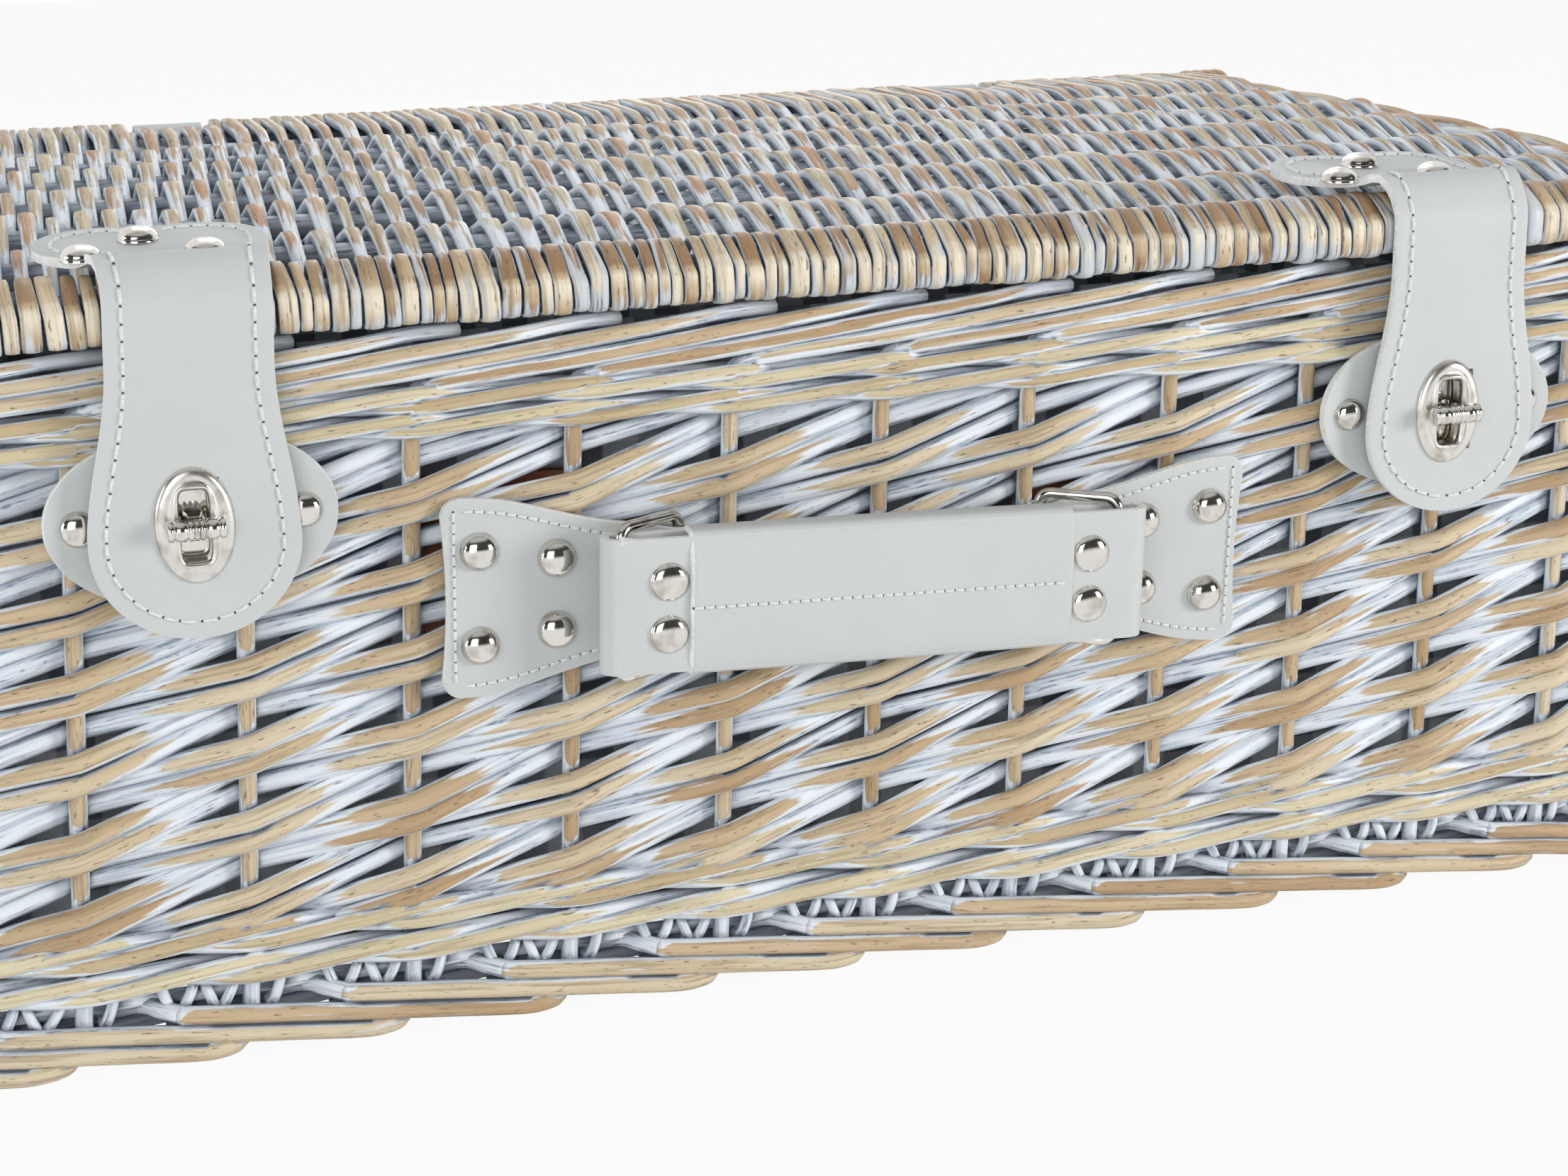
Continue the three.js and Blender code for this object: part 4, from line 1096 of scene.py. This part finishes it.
def strap_edges(side):
    """The flat outline of a strap's right and left edge from tip to lobe, and the lobe's own far edge."""
    arc = BEND * math.pi / 2 + LID_LEVEL - BEND_LEVEL
    half = STRAP_HALF
    slope = (BULGE_DROP - NECK_DROP) / 3
    tip = (BULGE_DROP + FLAP_DROP) / 2
    bulge = (BULGE_HALF, BULGE_DROP)
    round_end = bezier((0, FLAP_DROP), (0.6 * BULGE_HALF, FLAP_DROP), (BULGE_HALF, tip), bulge, 24)
    neck = bezier(bulge, (BULGE_HALF, BULGE_DROP - slope), (half, NECK_DROP + slope), (half, NECK_DROP), 16)
    flap = joined(round_end, neck)
    flap[:, 1] = -arc - flap[:, 1]
    middle = LOBE_SHIFT[side]
    sides = {}
    tops = {}
    for way in (-1, 1):
        edge = middle + way * LOBE_HALF
        widest = (edge, LOBE_REACH / 2)
        shoulder = (middle + way * 0.7 * half, 1.1 * LOBE_REACH)
        notch = (middle, LOBE_REACH - LOBE_NOTCH)
        start = (way * half, -FLARE)
        sides[way] = bezier(start, (way * half, LOBE_REACH / 6), (edge, LOBE_REACH / 8), widest, 17)
        tops[way] = bezier(widest, (edge, 0.9 * LOBE_REACH), shoulder, notch, 13)
    return flap, sides, tops


def strap_flat(side):
    """Rows of the strap from the flap's tip up and over the bend to the lobed top."""
    flap, sides, tops = strap_edges(side)
    top = joined(tops[-1], tops[1][::-1])
    columns = np.linspace(-1, 1, len(top))
    ones = np.ones(len(top))
    end = flap[0, 1]
    levels = end + (flap[-1, 1] - end) * (1 - np.cos(np.linspace(0.04, math.pi / 2, 34)))
    rows = [np.c_[columns * np.interp(s, flap[:, 1], flap[:, 0]), ones * s] for s in levels]
    for s in np.linspace(flap[-1, 1], -FLARE, 14)[1:]:
        rows.append(np.c_[columns * STRAP_HALF, ones * s])
    low = rows[-1]
    share = (columns[:, None] + 1) / 2
    for up, left, right in list(zip(np.linspace(0, 1, len(sides[1])), sides[-1], sides[1]))[1:]:
        blend = (1 - up) * low + up * top + (1 - share) * left + share * right
        plane = (1 - up) * ((1 - share) * low[0] + share * low[-1])
        plane = plane + up * ((1 - share) * top[0] + share * top[-1])
        rows.append(blend - plane)
    return np.array(rows)


QUARTER_BEND = BEND * math.pi / 2


def strap_place(side, above):
    """Where a point of the flat strap lies: on the lid, round the bend with its hump, or down the front."""
    high, low = STRAP_DRIFT[side]

    def place(x, s, lift):
        x += side * STRAP_X + np.interp(-s, (BEND, QUARTER_BEND + LID_LEVEL - LOCK_LEVEL), (high, low))
        hump = LID_LEVEL + HUMP_RISE * math.exp(-((s - HUMP_MIDDLE) / HUMP_REACH) ** 2)
        out = BEND + above + lift
        if s >= 0:
            return (x, FRONT_STICK + s, hump + out + LOBE_RISE * s)
        if -s < QUARTER_BEND:
            return (x, FRONT_STICK - out * math.sin(-s / BEND), hump + out * math.cos(-s / BEND))
        return (x, FRONT_STICK - out, LID_LEVEL + s + QUARTER_BEND)

    return place


def lock_hole(x, s):
    drop = -s - QUARTER_BEND - (LID_LEVEL - LOCK_LEVEL)
    return abs(x) < SLOT_HALF[0] and abs(drop) < SLOT_HALF[1]


def dome_rivet(shape, centre, way, radius, height):
    """Adds a domed head with a thin flange to a bmesh."""
    profile = [(radius * 1.05, -0.3), (radius * 1.05, 0.07 * height), (radius * 1.01, 0.14 * height)]
    for angle in np.linspace(0, math.pi / 2, 9):
        profile.append((radius * math.cos(angle), height * (0.16 + 0.84 * math.sin(angle))))
    before = set(shape.verts)
    line = [shape.verts.new((r * METRE, 0, h * METRE)) for r, h in profile]
    edges = [shape.edges.new(pair) for pair in zip(line, line[1:])]
    bmesh.ops.spin(shape, geom=line + edges, cent=(0, 0, 0), axis=(0, 0, 1), angle=2 * math.pi, steps=28,
                   use_merge=True)
    turn = Vector((0, 0, 1)).rotation_difference(Vector(way)).to_matrix().to_4x4()
    added = [vertex for vertex in shape.verts if vertex not in before]
    bmesh.ops.transform(shape, matrix=Matrix.Translation(Vector(centre) * METRE) @ turn, verts=added)


def rivets(name, places, way, radius, height):
    shape = bmesh.new()
    for place in places:
        dome_rivet(shape, place, way, radius, height)
    bmesh.ops.remove_doubles(shape, verts=shape.verts, dist=0.00002)
    return metal(name, shape)


def metal(name, shape, paint=nickel):
    bmesh.ops.recalc_face_normals(shape, faces=shape.faces)
    return finished(name, shape, paint)


def tilted(x, y, z):
    """A point of the handle's tilted frame in the basket's frame."""
    cos, sin = math.cos(TILT), math.sin(TILT)
    return (x * cos + z * sin, y, HANDLE_LEVEL - x * sin + z * cos)


def loft(shape, rings):
    """Adds a skin through closed rings of the same number of points."""
    first = [shape.verts.new(Vector(point) * METRE) for point in rings[0]]
    edges = [shape.edges.new((a, b)) for a, b in zip(first, first[1:] + first[:1])]
    order = first
    for ring in rings[1:]:
        made = bmesh.ops.extrude_edge_only(shape, edges=edges)
        fresh = [item for item in made["geom"] if isinstance(item, bmesh.types.BMVert)]
        match = {}
        for old in order:
            for edge in old.link_edges:
                other = edge.other_vert(old)
                if other in fresh:
                    match[old] = other
        order = [match[old] for old in order]
        for vertex, point in zip(order, ring):
            vertex.co = Vector(point) * METRE
        edges = [item for item in made["geom"] if isinstance(item, bmesh.types.BMEdge)
                 and item.verts[0] in fresh and item.verts[1] in fresh]
    return order


def rounded(half_x, half_z, power, count=48):
    """A rounded oblong: power 2 is an oval, higher is squarer."""
    points = []
    for i in range(count):
        turn = 2 * math.pi * i / count
        points.append((half_x * squarer(math.cos(turn), power), half_z * squarer(math.sin(turn), power)))
    return points


# Rings of the lock plate, from its outer edge to the washer: half width, half height, squareness and Y
PLATE_RINGS = ((10.0, 15.0, 2, -165.3), (10.0, 15.0, 2, -165.6), (9.7, 14.7, 2, -166.1),
               (9.0, 14.0, 2, -166.6), (8.0, 13.0, 2, -166.85), (7.3, 12.3, 2, -166.8),
               (5.4, 11.0, 3, -166.7), (5.15, 10.7, 4, -167.1), (4.7, 10.2, 5, -167.2),
               (4.2, 9.7, 6, -167.1), (3.75, 9.35, 6, -166.6), (3.65, 9.25, 6, -162.0),
               (4.8, 10.4, 4, -161.7), (7.5, 12.5, 2, -161.7), (7.5, 12.5, 2, -162.9))
# The turn bar's beads, as middle and half length, and its stem's half width, half height and Y
BEADS = ((-6.4, 0.75), (-3.9, 1.5), (-1.4, 0.65), (0, 0.65), (1.4, 0.65), (3.9, 1.5), (6.4, 0.75))
BEAD_RADIUS = 2.7
BEAD_GROOVE = 2.2
BAR_HALF = 7.3
BAR_TIP = 0.4
STEM_RINGS = ((2.8, 2.6, -159.7), (2.8, 2.6, -167.2), (2.4, 2.2, -168.6), (2.2, 1.8, BAR_Y))


def lock_ring(side, half_x, half_z, power, y, count=48):
    return [(side * STRAP_X + x, y, LOCK_LEVEL + z) for x, z in rounded(half_x, half_z, power, count)]


def lock_plate(side, word):
    """The oval plate with its raised rim and slot frame, the barrel through the leather and the washer."""
    shape = bmesh.new()
    loft(shape, [lock_ring(side, *ring) for ring in PLATE_RINGS])
    return metal(f"{word}_lock_plate", shape, satin)


def turn_bar(side, word):
    """A ribbed bar across the slot, on a flat stem."""
    profile = [(-BAR_HALF, BAR_TIP)]
    for middle, half in BEADS:
        for share, radius in ((-1, BEAD_GROOVE), (-0.75, BEAD_RADIUS), (0.75, BEAD_RADIUS), (1, BEAD_GROOVE)):
            profile.append((middle + share * half, radius))
    profile.append((BAR_HALF, BAR_TIP))
    turns = np.linspace(0, 2 * math.pi, 24, endpoint=False)
    ribs = [[(side * STRAP_X + x, BAR_Y + r * math.cos(a), LOCK_LEVEL + r * math.sin(a)) for a in turns]
            for x, r in profile]
    shape = bmesh.new()
    bmesh.ops.contextual_create(shape, geom=loft(shape, ribs))
    loft(shape, [lock_ring(side, half_x, half_z, 4, y, 24) for half_x, half_z, y in STEM_RINGS])
    return metal(f"{word}_turn_bar", shape)


def lens_flat():
    """The lens patch: blunt tips at both ends, full in the middle."""
    half = PATCH_HEIGHT / 2
    rise = bezier((-PATCH_HALF, 0), (-PATCH_HALF, 0.55 * half), (-0.6 * PATCH_HALF, half), (0, half), 30)
    edge = joined(rise, rise[::-1] * (-1, 1))
    x = np.sin(np.linspace(-1.5, 1.5, 41)) * PATCH_HALF
    height = np.interp(x, edge[:, 0], edge[:, 1])
    return np.array([np.c_[x, share * height] for share in np.linspace(-1, 1, 11)])


def lens_patch(side, word):
    """The patch behind a lock, flat on the wall with its tips curled out."""

    def place(x, s, lift):
        curl = PATCH_CURL * (max(0, abs(x) / PATCH_HALF - PATCH_FLAT) / (1 - PATCH_FLAT)) ** 2
        return (side * STRAP_X + x, PATCH_Y - lift - curl, LOCK_LEVEL + s)

    return sheet(f"{word}_lens_patch", lens_flat(), place, LEATHER)


def strap_seams(side):
    """The two lines of stitching, from the flap's tip and from the lobes' notch."""
    flap, sides, tops = strap_edges(side)
    straight = np.linspace(flap[-1, 1], -FLARE, 20)
    right = joined(flap, [(STRAP_HALF, s) for s in straight], sides[1], tops[1])
    down = [(-STRAP_HALF, s) for s in straight[::-1]]
    left = joined(tops[-1][::-1], sides[-1][::-1], down, flap[::-1] * (-1, 1))
    return [inset(right, STRAP_INSET), inset(left, STRAP_INSET)]


for side, word in SIDES:
    start, end = ((side * STRAP_X * METRE, BLEND_Y * METRE, level * METRE) for level in BLEND_LEVELS)
    strap = sheet(f"{word}_strap", strap_flat(side), strap_place(side, 0.0), LEATHER, lock_hole)
    belongs(strap, None, "leather", f"{word}_strap_top", f"{word}_strap_flap")
    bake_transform(strap)
    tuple(start)
    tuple(end)
    on_leather = strap_place(side, LEATHER / 2)
    sewing = stitches(f"{word}_strap_stitches", strap_seams(side), on_leather, STRAP_STITCH)
    belongs(sewing, None, "leather")
    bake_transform(sewing)
    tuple(start)
    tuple(end)
    middle = side * STRAP_X + LOBE_SHIFT[side]
    spots = [(middle + x, FRONT_STICK + s, STRAP_DOME_LEVEL + LOBE_RISE * s) for x, s in STRAP_DOMES]
    belongs(rivets(f"{word}_strap_domes", spots, (0, 0, 1), *STRAP_DOME_SIZE), "lid", "nickel",
            *(f"{word}_strap_rivet_{i}" for i in (1, 2, 3)))
    belongs(lock_plate(side, word), f"{word}_flap", "nickel", f"{word}_lock_eyelet")
    belongs(turn_bar(side, word), f"{word}_toggle", "nickel", f"{word}_lock_toggle")
    belongs(lens_patch(side, word), "basket", "leather", f"{word}_lock_patch")
    spots = [(side * STRAP_X + x, PATCH_Y - LEATHER / 2, LOCK_LEVEL) for x in (-PATCH_RIVET, PATCH_RIVET)]
    belongs(rivets(f"{word}_patch_domes", spots, (0, -1, 0), *PATCH_DOME_SIZE), "basket", "nickel")


TAB_REACH = TAB_END - TAB_X
TAB_FULL = TAB_REACH - TAB_CORNER
TAB_STEPS = [*np.linspace(12, TAB_FULL, 22)]
TAB_STEPS += [TAB_FULL + TAB_CORNER * math.sin(a) for a in np.linspace(0.15, math.pi / 2, 7)]
TAB_LOOP = ((8.0, -159.8), (4.2, -162.4), (1.6, -163.9), (-0.6, -164.1), (-2.3, -163.0), (-2.75, -161.4),
            (-2.2, -159.8), (-0.8, -158.8), (1.5, -158.2), (5.0, -157.7))


def tab_half(x):
    """Half the tab's height at a distance from the loop's middle."""
    edge = bezier((0, TAB_LOOP_HALF), (0.45 * TAB_REACH, TAB_LOOP_HALF), (0.6 * TAB_REACH, TAB_END_HALF),
                  (TAB_FULL, TAB_END_HALF), 30)
    half = np.interp(x, edge[:, 0], edge[:, 1])
    past = max(0, x - TAB_FULL)
    return half - TAB_CORNER + math.sqrt(max(0, TAB_CORNER ** 2 - past ** 2))


def tab_path():
    """The tab from above: the front layer from its outer end, round the ring, and the back layer out."""
    front = [(x, TAB_FRONT) for x in TAB_STEPS[::-1]]
    back = [(x, TAB_BACK) for x in TAB_STEPS]
    return np.array([*front, *flowing(TAB_LOOP, 3), *back])


def along_path(path, across):
    """A flat grid whose rows are numbered along a path."""
    return np.array([[(i, share) for share in across] for i in range(len(path))], float)


def tab(side, word):
    path = tab_path()

    def place(i, share, lift):
        x, y = path[int(round(i))]
        hollow = TAB_HOLLOW * max(0, x / TAB_REACH) ** 4 * (1 - share ** 2)
        return tilted(side * (TAB_X + x - hollow), y, share * tab_half(max(0, x)))

    return sheet(f"{word}_handle_tab", along_path(path, np.linspace(-1, 1, 15)), place, TAB_LAYER)


def tab_stitches(side, word):
    reach = TAB_REACH - STITCH_INSET
    top = [(x, tab_half(min(x, TAB_FULL)) - STITCH_INSET) for x in np.linspace(9, reach, 30)]
    bottom = [(x, -z) for x, z in top]
    end = [(reach, z) for z in np.linspace(top[-1][1], -top[-1][1], 20)]

    def place(x, z, lift):
        return tilted(side * (TAB_X + x), TAB_FRONT - TAB_LAYER / 2 - lift, z)

    return stitches(f"{word}_tab_stitches", [top, end, bottom], place, TAB_STITCH)


def ring(side, word):
    """A rounded oblong of wire that swings on the tab's loop."""
    near, far = RING_CORNER, RING_REACH - RING_CORNER
    high = RING_HALF - RING_CORNER
    line = [(0, RING_GAP)]
    for reach, height, first in ((near, high, -180), (far, high, 90), (far, -high, 0), (near, -high, -90)):
        for angle in np.radians(np.linspace(first, first - 90, 7)):
            line.append((reach + RING_CORNER * math.cos(angle), height + RING_CORNER * math.sin(angle)))
    line += [(0, -RING_GAP), line[0]]
    cos, sin = math.cos(RING_ANGLE), math.sin(RING_ANGLE)
    points = [tilted(side * (TAB_X + r * cos), TAB_Y - r * sin, z) for r, z in line]
    return rods(f"{word}_wire_ring", [Route(points, RING_WIRE, (0, -1, 0), 0)], nickel, roundness=4)


for side, word in SIDES:
    belongs(tab(side, word), "basket", "leather", f"{word}_tab")
    belongs(tab_stitches(side, word), "basket", "leather")
    spots = [tilted(side * x, TAB_DOME_Y, z) for x, z in TAB_DOMES]
    belongs(rivets(f"{word}_tab_domes", spots, (0, -1, 0), *TAB_DOME_SIZE), "basket", "nickel",
            *(f"{word}_tab_rivet_{i}" for i in (1, 2, 3, 4)))
    belongs(ring(side, word), f"{word}_ring", "nickel", f"{word}_ring")


def held(x, y, z):
    """A point of the handle, which sits a little to one side."""
    return tilted(x + HANDLE_DRIFT, y, z)


def handle_strap():
    """Two layers of leather that fold round a ring at each end."""
    bend = HANDLE_HALF - LEATHER / 2 - HANDLE_FOLD
    turns = np.linspace(0, math.pi, 13)
    arc = [(bend + HANDLE_FOLD * math.sin(a), HANDLE_Y - HANDLE_FOLD * math.cos(a)) for a in turns]
    path = [(x, HANDLE_Y - HANDLE_FOLD) for x in np.linspace(-bend, bend, 40)[:-1]] + arc
    path += [(x, HANDLE_Y + HANDLE_FOLD) for x in np.linspace(bend, -bend, 40)[1:-1]]
    path += [(-x, y) for x, y in arc[::-1]]
    seam = len(path) - HANDLE_SEAM
    path = [*path[seam:], *path[:seam + 1]]
    flat = along_path(path, np.linspace(-0.5, 0.5, 9) * HANDLE_HEIGHT)
    return sheet("handle_band", flat, lambda i, z, lift: held(*path[int(round(i))], z), LEATHER)


def grip_profile(puff):
    """The sleeve's section: a rounded oblong with a lapped seam just below the middle of its front."""
    half_y, half_z = GRIP_THICK / 2 + puff, GRIP_HEIGHT / 2 + puff
    points = []
    for a in np.linspace(0, 2 * math.pi, 64, endpoint=False):
        y = half_y * squarer(math.cos(a), GRIP_SQUARENESS[0])
        z = half_z * squarer(math.sin(a), GRIP_SQUARENESS[1])
        if y < 0 and abs(z - LAP_LEVEL) < LAP_HALF:
            y += LAP_DEPTH
        points.append((y, z))
    return points


def grip():
    """The sleeve, turned in at both ends and a little fuller in its middle."""
    steps = [(-GRIP_HALF + 3, -GRIP_WALL), (-GRIP_HALF, -GRIP_WALL), (-GRIP_HALF, -0.7)]
    steps += [(-GRIP_HALF + 0.8, 0.2), (-GRIP_HALF + 1.6, 0.1)]
    for x in np.linspace(-GRIP_HALF + 5, GRIP_HALF - 5, 16):
        steps.append((x, 0.15 * math.cos(math.pi * x / (2 * GRIP_HALF))))
    steps += [(GRIP_HALF - 1, 0), (GRIP_HALF, -0.15), (GRIP_HALF + 0.1, -GRIP_WALL / 2)]
    steps += [(GRIP_HALF, -GRIP_WALL), (GRIP_HALF - 3, -GRIP_WALL)]
    shape = bmesh.new()
    loft(shape, [[held(x, HANDLE_Y + y, z) for y, z in grip_profile(puff)] for x, puff in steps])
    bmesh.ops.recalc_face_normals(shape, faces=shape.faces)
    for face in shape.faces:
        face.material_index = int(abs(face.normal.x) > 0.6)
    return finished("handle_sleeve", shape, leather, leather_edge)


def on_sleeve(x, z, lift):
    return held(x, HANDLE_Y - GRIP_THICK / 2 - 0.1 - lift, z)


belongs(handle_strap(), "handle", "leather", "handle_strap")
sleeve = belongs(grip(), "handle", "leather", "handle_grip")
lap = [(x, SEAM_LEVEL) for x in np.linspace(-GRIP_HALF + 0.6, GRIP_HALF, 40)]
belongs(stitches("sleeve_stitches", [lap], on_sleeve, TAB_STITCH), "handle", "leather")
spots = [held(x, HANDLE_DOME_Y, z) for x in (-HANDLE_DOME_X, HANDLE_DOME_X) for z in HANDLE_DOME_LEVELS]
belongs(rivets("handle_domes", spots, (0, -1, 0), *HANDLE_DOME_SIZE), "handle", "nickel",
        *(f"handle_rivet_{i}" for i in (1, 2, 3, 4)))


def hinge(side, word):
    """A leather leaf looped round the lid's back stick and hanging on the back wall."""
    path = [(BACK_STICK + HINGE_LOOP, z) for z in np.linspace(HINGE_FOOT, LID_LEVEL, 16)]
    for a in np.radians(range(15, 286, 15)):
        path.append((BACK_STICK + HINGE_LOOP * math.cos(a), LID_LEVEL + HINGE_LOOP * math.sin(a)))
    flat = along_path(path, np.linspace(-HINGE_HALF, HINGE_HALF, 9))

    def place(i, x, lift):
        return (side * HINGE_SPREAD + x, *path[int(round(i))])

    return sheet(f"{word}_hinge_leather", flat, place, LEATHER)


HINGE_FACE = BACK_STICK + HINGE_LOOP + LEATHER / 2
HINGE_SEAM = HINGE_HALF - STITCH_INSET
for side, word in SIDES:
    belongs(hinge(side, word), "basket", "leather", f"{word}_hinge_leaf")
    low, high = HINGE_SEWN
    seam = resampled([(-HINGE_SEAM, high), (-HINGE_SEAM, low), (HINGE_SEAM, low), (HINGE_SEAM, high)], 0.5)

    def on_leaf(x, z, lift):
        return (side * HINGE_SPREAD + x, HINGE_FACE + lift, z)

    belongs(stitches(f"{word}_hinge_stitches", [seam], on_leaf, TAB_STITCH), "basket", "leather")
    spots = [on_leaf(0.0, z, 0.0) for z in HINGE_DOMES]
    belongs(rivets(f"{word}_hinge_domes", spots, (0, 1, 0), *HINGE_DOME_SIZE), "basket", "nickel")


def liner():
    """The check lining: a box of cloth, open at the top, that hangs inside the walls."""
    low, high = (Vector(corner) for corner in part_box("liner"))
    shape = bmesh.new()
    bmesh.ops.create_cube(shape, size=1.0)
    middle = (low + high) / 2
    size = high - low
    fitted = Matrix.Translation(middle) @ Matrix.Diagonal((*size, 1))
    bmesh.ops.transform(shape, matrix=fitted, verts=shape.verts)
    top = [face for face in shape.faces if face.normal.z > 0.9]
    bmesh.ops.delete(shape, geom=top, context="FACES_ONLY")
    bmesh.ops.subdivide_edges(shape, edges=shape.edges, cuts=23, use_grid_fill=True)
    layer = shape.loops.layers.uv.new("weave")
    for face in shape.faces:
        flat = max(range(3), key=lambda axis: abs(face.normal[axis]))
        first, second = [axis for axis in range(3) if axis != flat]
        for loop in face.loops:
            loop[layer].uv = (loop.vert.co[first], loop.vert.co[second])
    for vertex in shape.verts:
        inward = (middle - vertex.co) * Vector((1, 1, 0))
        depth = RIPPLE * METRE * (1 + math.sin(vertex.co.x * 61) * math.sin(vertex.co.y * 73))
        if inward.length:
            vertex.co += inward.normalized() * depth
    bmesh.ops.recalc_face_normals(shape, faces=shape.faces)
    piece = finished("check_liner", shape, check)
    thick = piece.modifiers.new("thickness", "SOLIDIFY")
    thick.thickness = CLOTH * METRE
    thick.offset = -1
    return settle(piece)


lining = belongs(liner(), "basket", "lining", "liner")

for side, word in SIDES:
    for node, paint in ((f"{word}_backing_plate", board), (f"{word}_lock_base", nickel)):
        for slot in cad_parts[node].material_slots:
            slot.material = paint


def camera():
    forward = Vector((math.sin(YAW) * math.cos(PITCH), math.cos(YAW) * math.cos(PITCH), math.sin(PITCH)))
    right = Vector((math.cos(YAW), -math.sin(YAW), 0))
    up = right.cross(forward)
    across = right * math.cos(ROLL) + up * math.sin(ROLL)
    above = up * math.cos(ROLL) - right * math.sin(ROLL)
    lens = bpy.data.cameras.new("photo_camera")
    lens.lens = LENS
    lens.sensor_width = SENSOR
    lens.sensor_fit = "HORIZONTAL"
    eye = link(lens, "photo_camera")
    turn = Matrix((across, above, -forward)).transposed().to_4x4()
    eye.matrix_world = Matrix.Translation(Vector(EYE) * METRE) @ turn
    bpy.context.scene.camera = eye


def lamp(name, place, power, size, tint):
    """A soft square lamp that faces the basket's middle."""
    light = bpy.data.lights.new(name, "AREA")
    light.energy = power
    light.size = size
    light.color = tint
    holder = link(light, name)
    aim = Vector((0, 0, 0.12)) - Vector(place)
    holder.matrix_world = Matrix.Translation(place) @ aim.to_track_quat("-Z", "Y").to_matrix().to_4x4()


def seen(paint):
    """1 where the camera, a reflection or a view through glass meets the surface."""
    rays = paint.node("ShaderNodeLightPath", {}, {}, "Is Camera Ray")
    outputs = rays.socket.node.outputs
    total = rays + Value(paint, outputs["Is Glossy Ray"]) + Value(paint, outputs["Is Transmission Ray"])
    return paint.step(total, 0.0, 1.0)


FLOOR_GLOW = 0.93
ROOM_LIGHT = 0.4


def studio():
    """The white floor and room, with a darker band of room behind the camera for the nickel to mirror."""
    shape = bmesh.new()
    bmesh.ops.create_grid(shape, x_segments=8, y_segments=8, size=4.0)
    paint = material("pale_floor")
    floor = finished("floor", shape, paint.owner)
    paint.shade(Base_Color=colour(236, 237, 238), Roughness=0.9)
    shader = paint.tree.nodes["Principled BSDF"]
    glow = paint.node("ShaderNodeEmission", {}, {"Color": (1, 1, 1, 1), "Strength": 1.0})
    share = seen(paint) * FLOOR_GLOW
    mixed = paint.node("ShaderNodeMixShader", {}, {0: share, 1: Value(paint, shader.outputs[0]), 2: glow})
    paint.feed(paint.tree.nodes["Material Output"].inputs["Surface"], mixed)
    world = bpy.data.worlds.new("studio")
    bpy.context.scene.world = world
    paint = Paint(world)
    soft = paint.node("ShaderNodeBackground", {}, {"Color": (0.95, 0.98, 1.0, 1), "Strength": ROOM_LIGHT})
    way = paint.node("ShaderNodeSeparateXYZ", {}, {0: paint.place("Generated")}, "X").socket.node.outputs
    behind = paint.step(Value(paint, way["Y"]), 0.3, -0.1)
    height = Value(paint, way["Z"])
    room = 0.7 - paint.step(height, 0.0, 0.12) * 0.64 + paint.step(height, 0.62, 0.85) * 0.5
    shade = 1 - behind * (1 - room)
    white = paint.node("ShaderNodeBackground", {}, {"Color": (1, 1, 1, 1), "Strength": shade})
    mixed = paint.node("ShaderNodeMixShader", {}, {0: seen(paint), 1: soft, 2: white})
    paint.feed(paint.tree.nodes["World Output"].inputs["Surface"], mixed)
    lamp("key", (1.5, -1.3, 0.5), 17.5, 0.6, (1.0, 0.98, 0.96))
    lamp("fill", (-1.0, -1.8, 0.7), 12.5, 1.2, (0.97, 0.98, 1.0))
    lamp("left", (-1.9, -0.2, 0.45), 8.0, 0.8, (0.98, 0.99, 1.0))
    lamp("back", (0.7, 1.9, 0.6), 6.5, 1.0, (1.0, 1.0, 1.0))
    lamp("top", (0.1, 1.0, 1.4), 5.5, 0.9, (1.0, 1.0, 1.0))
    bpy.context.scene.view_settings.view_transform = "Standard"


camera()
studio()
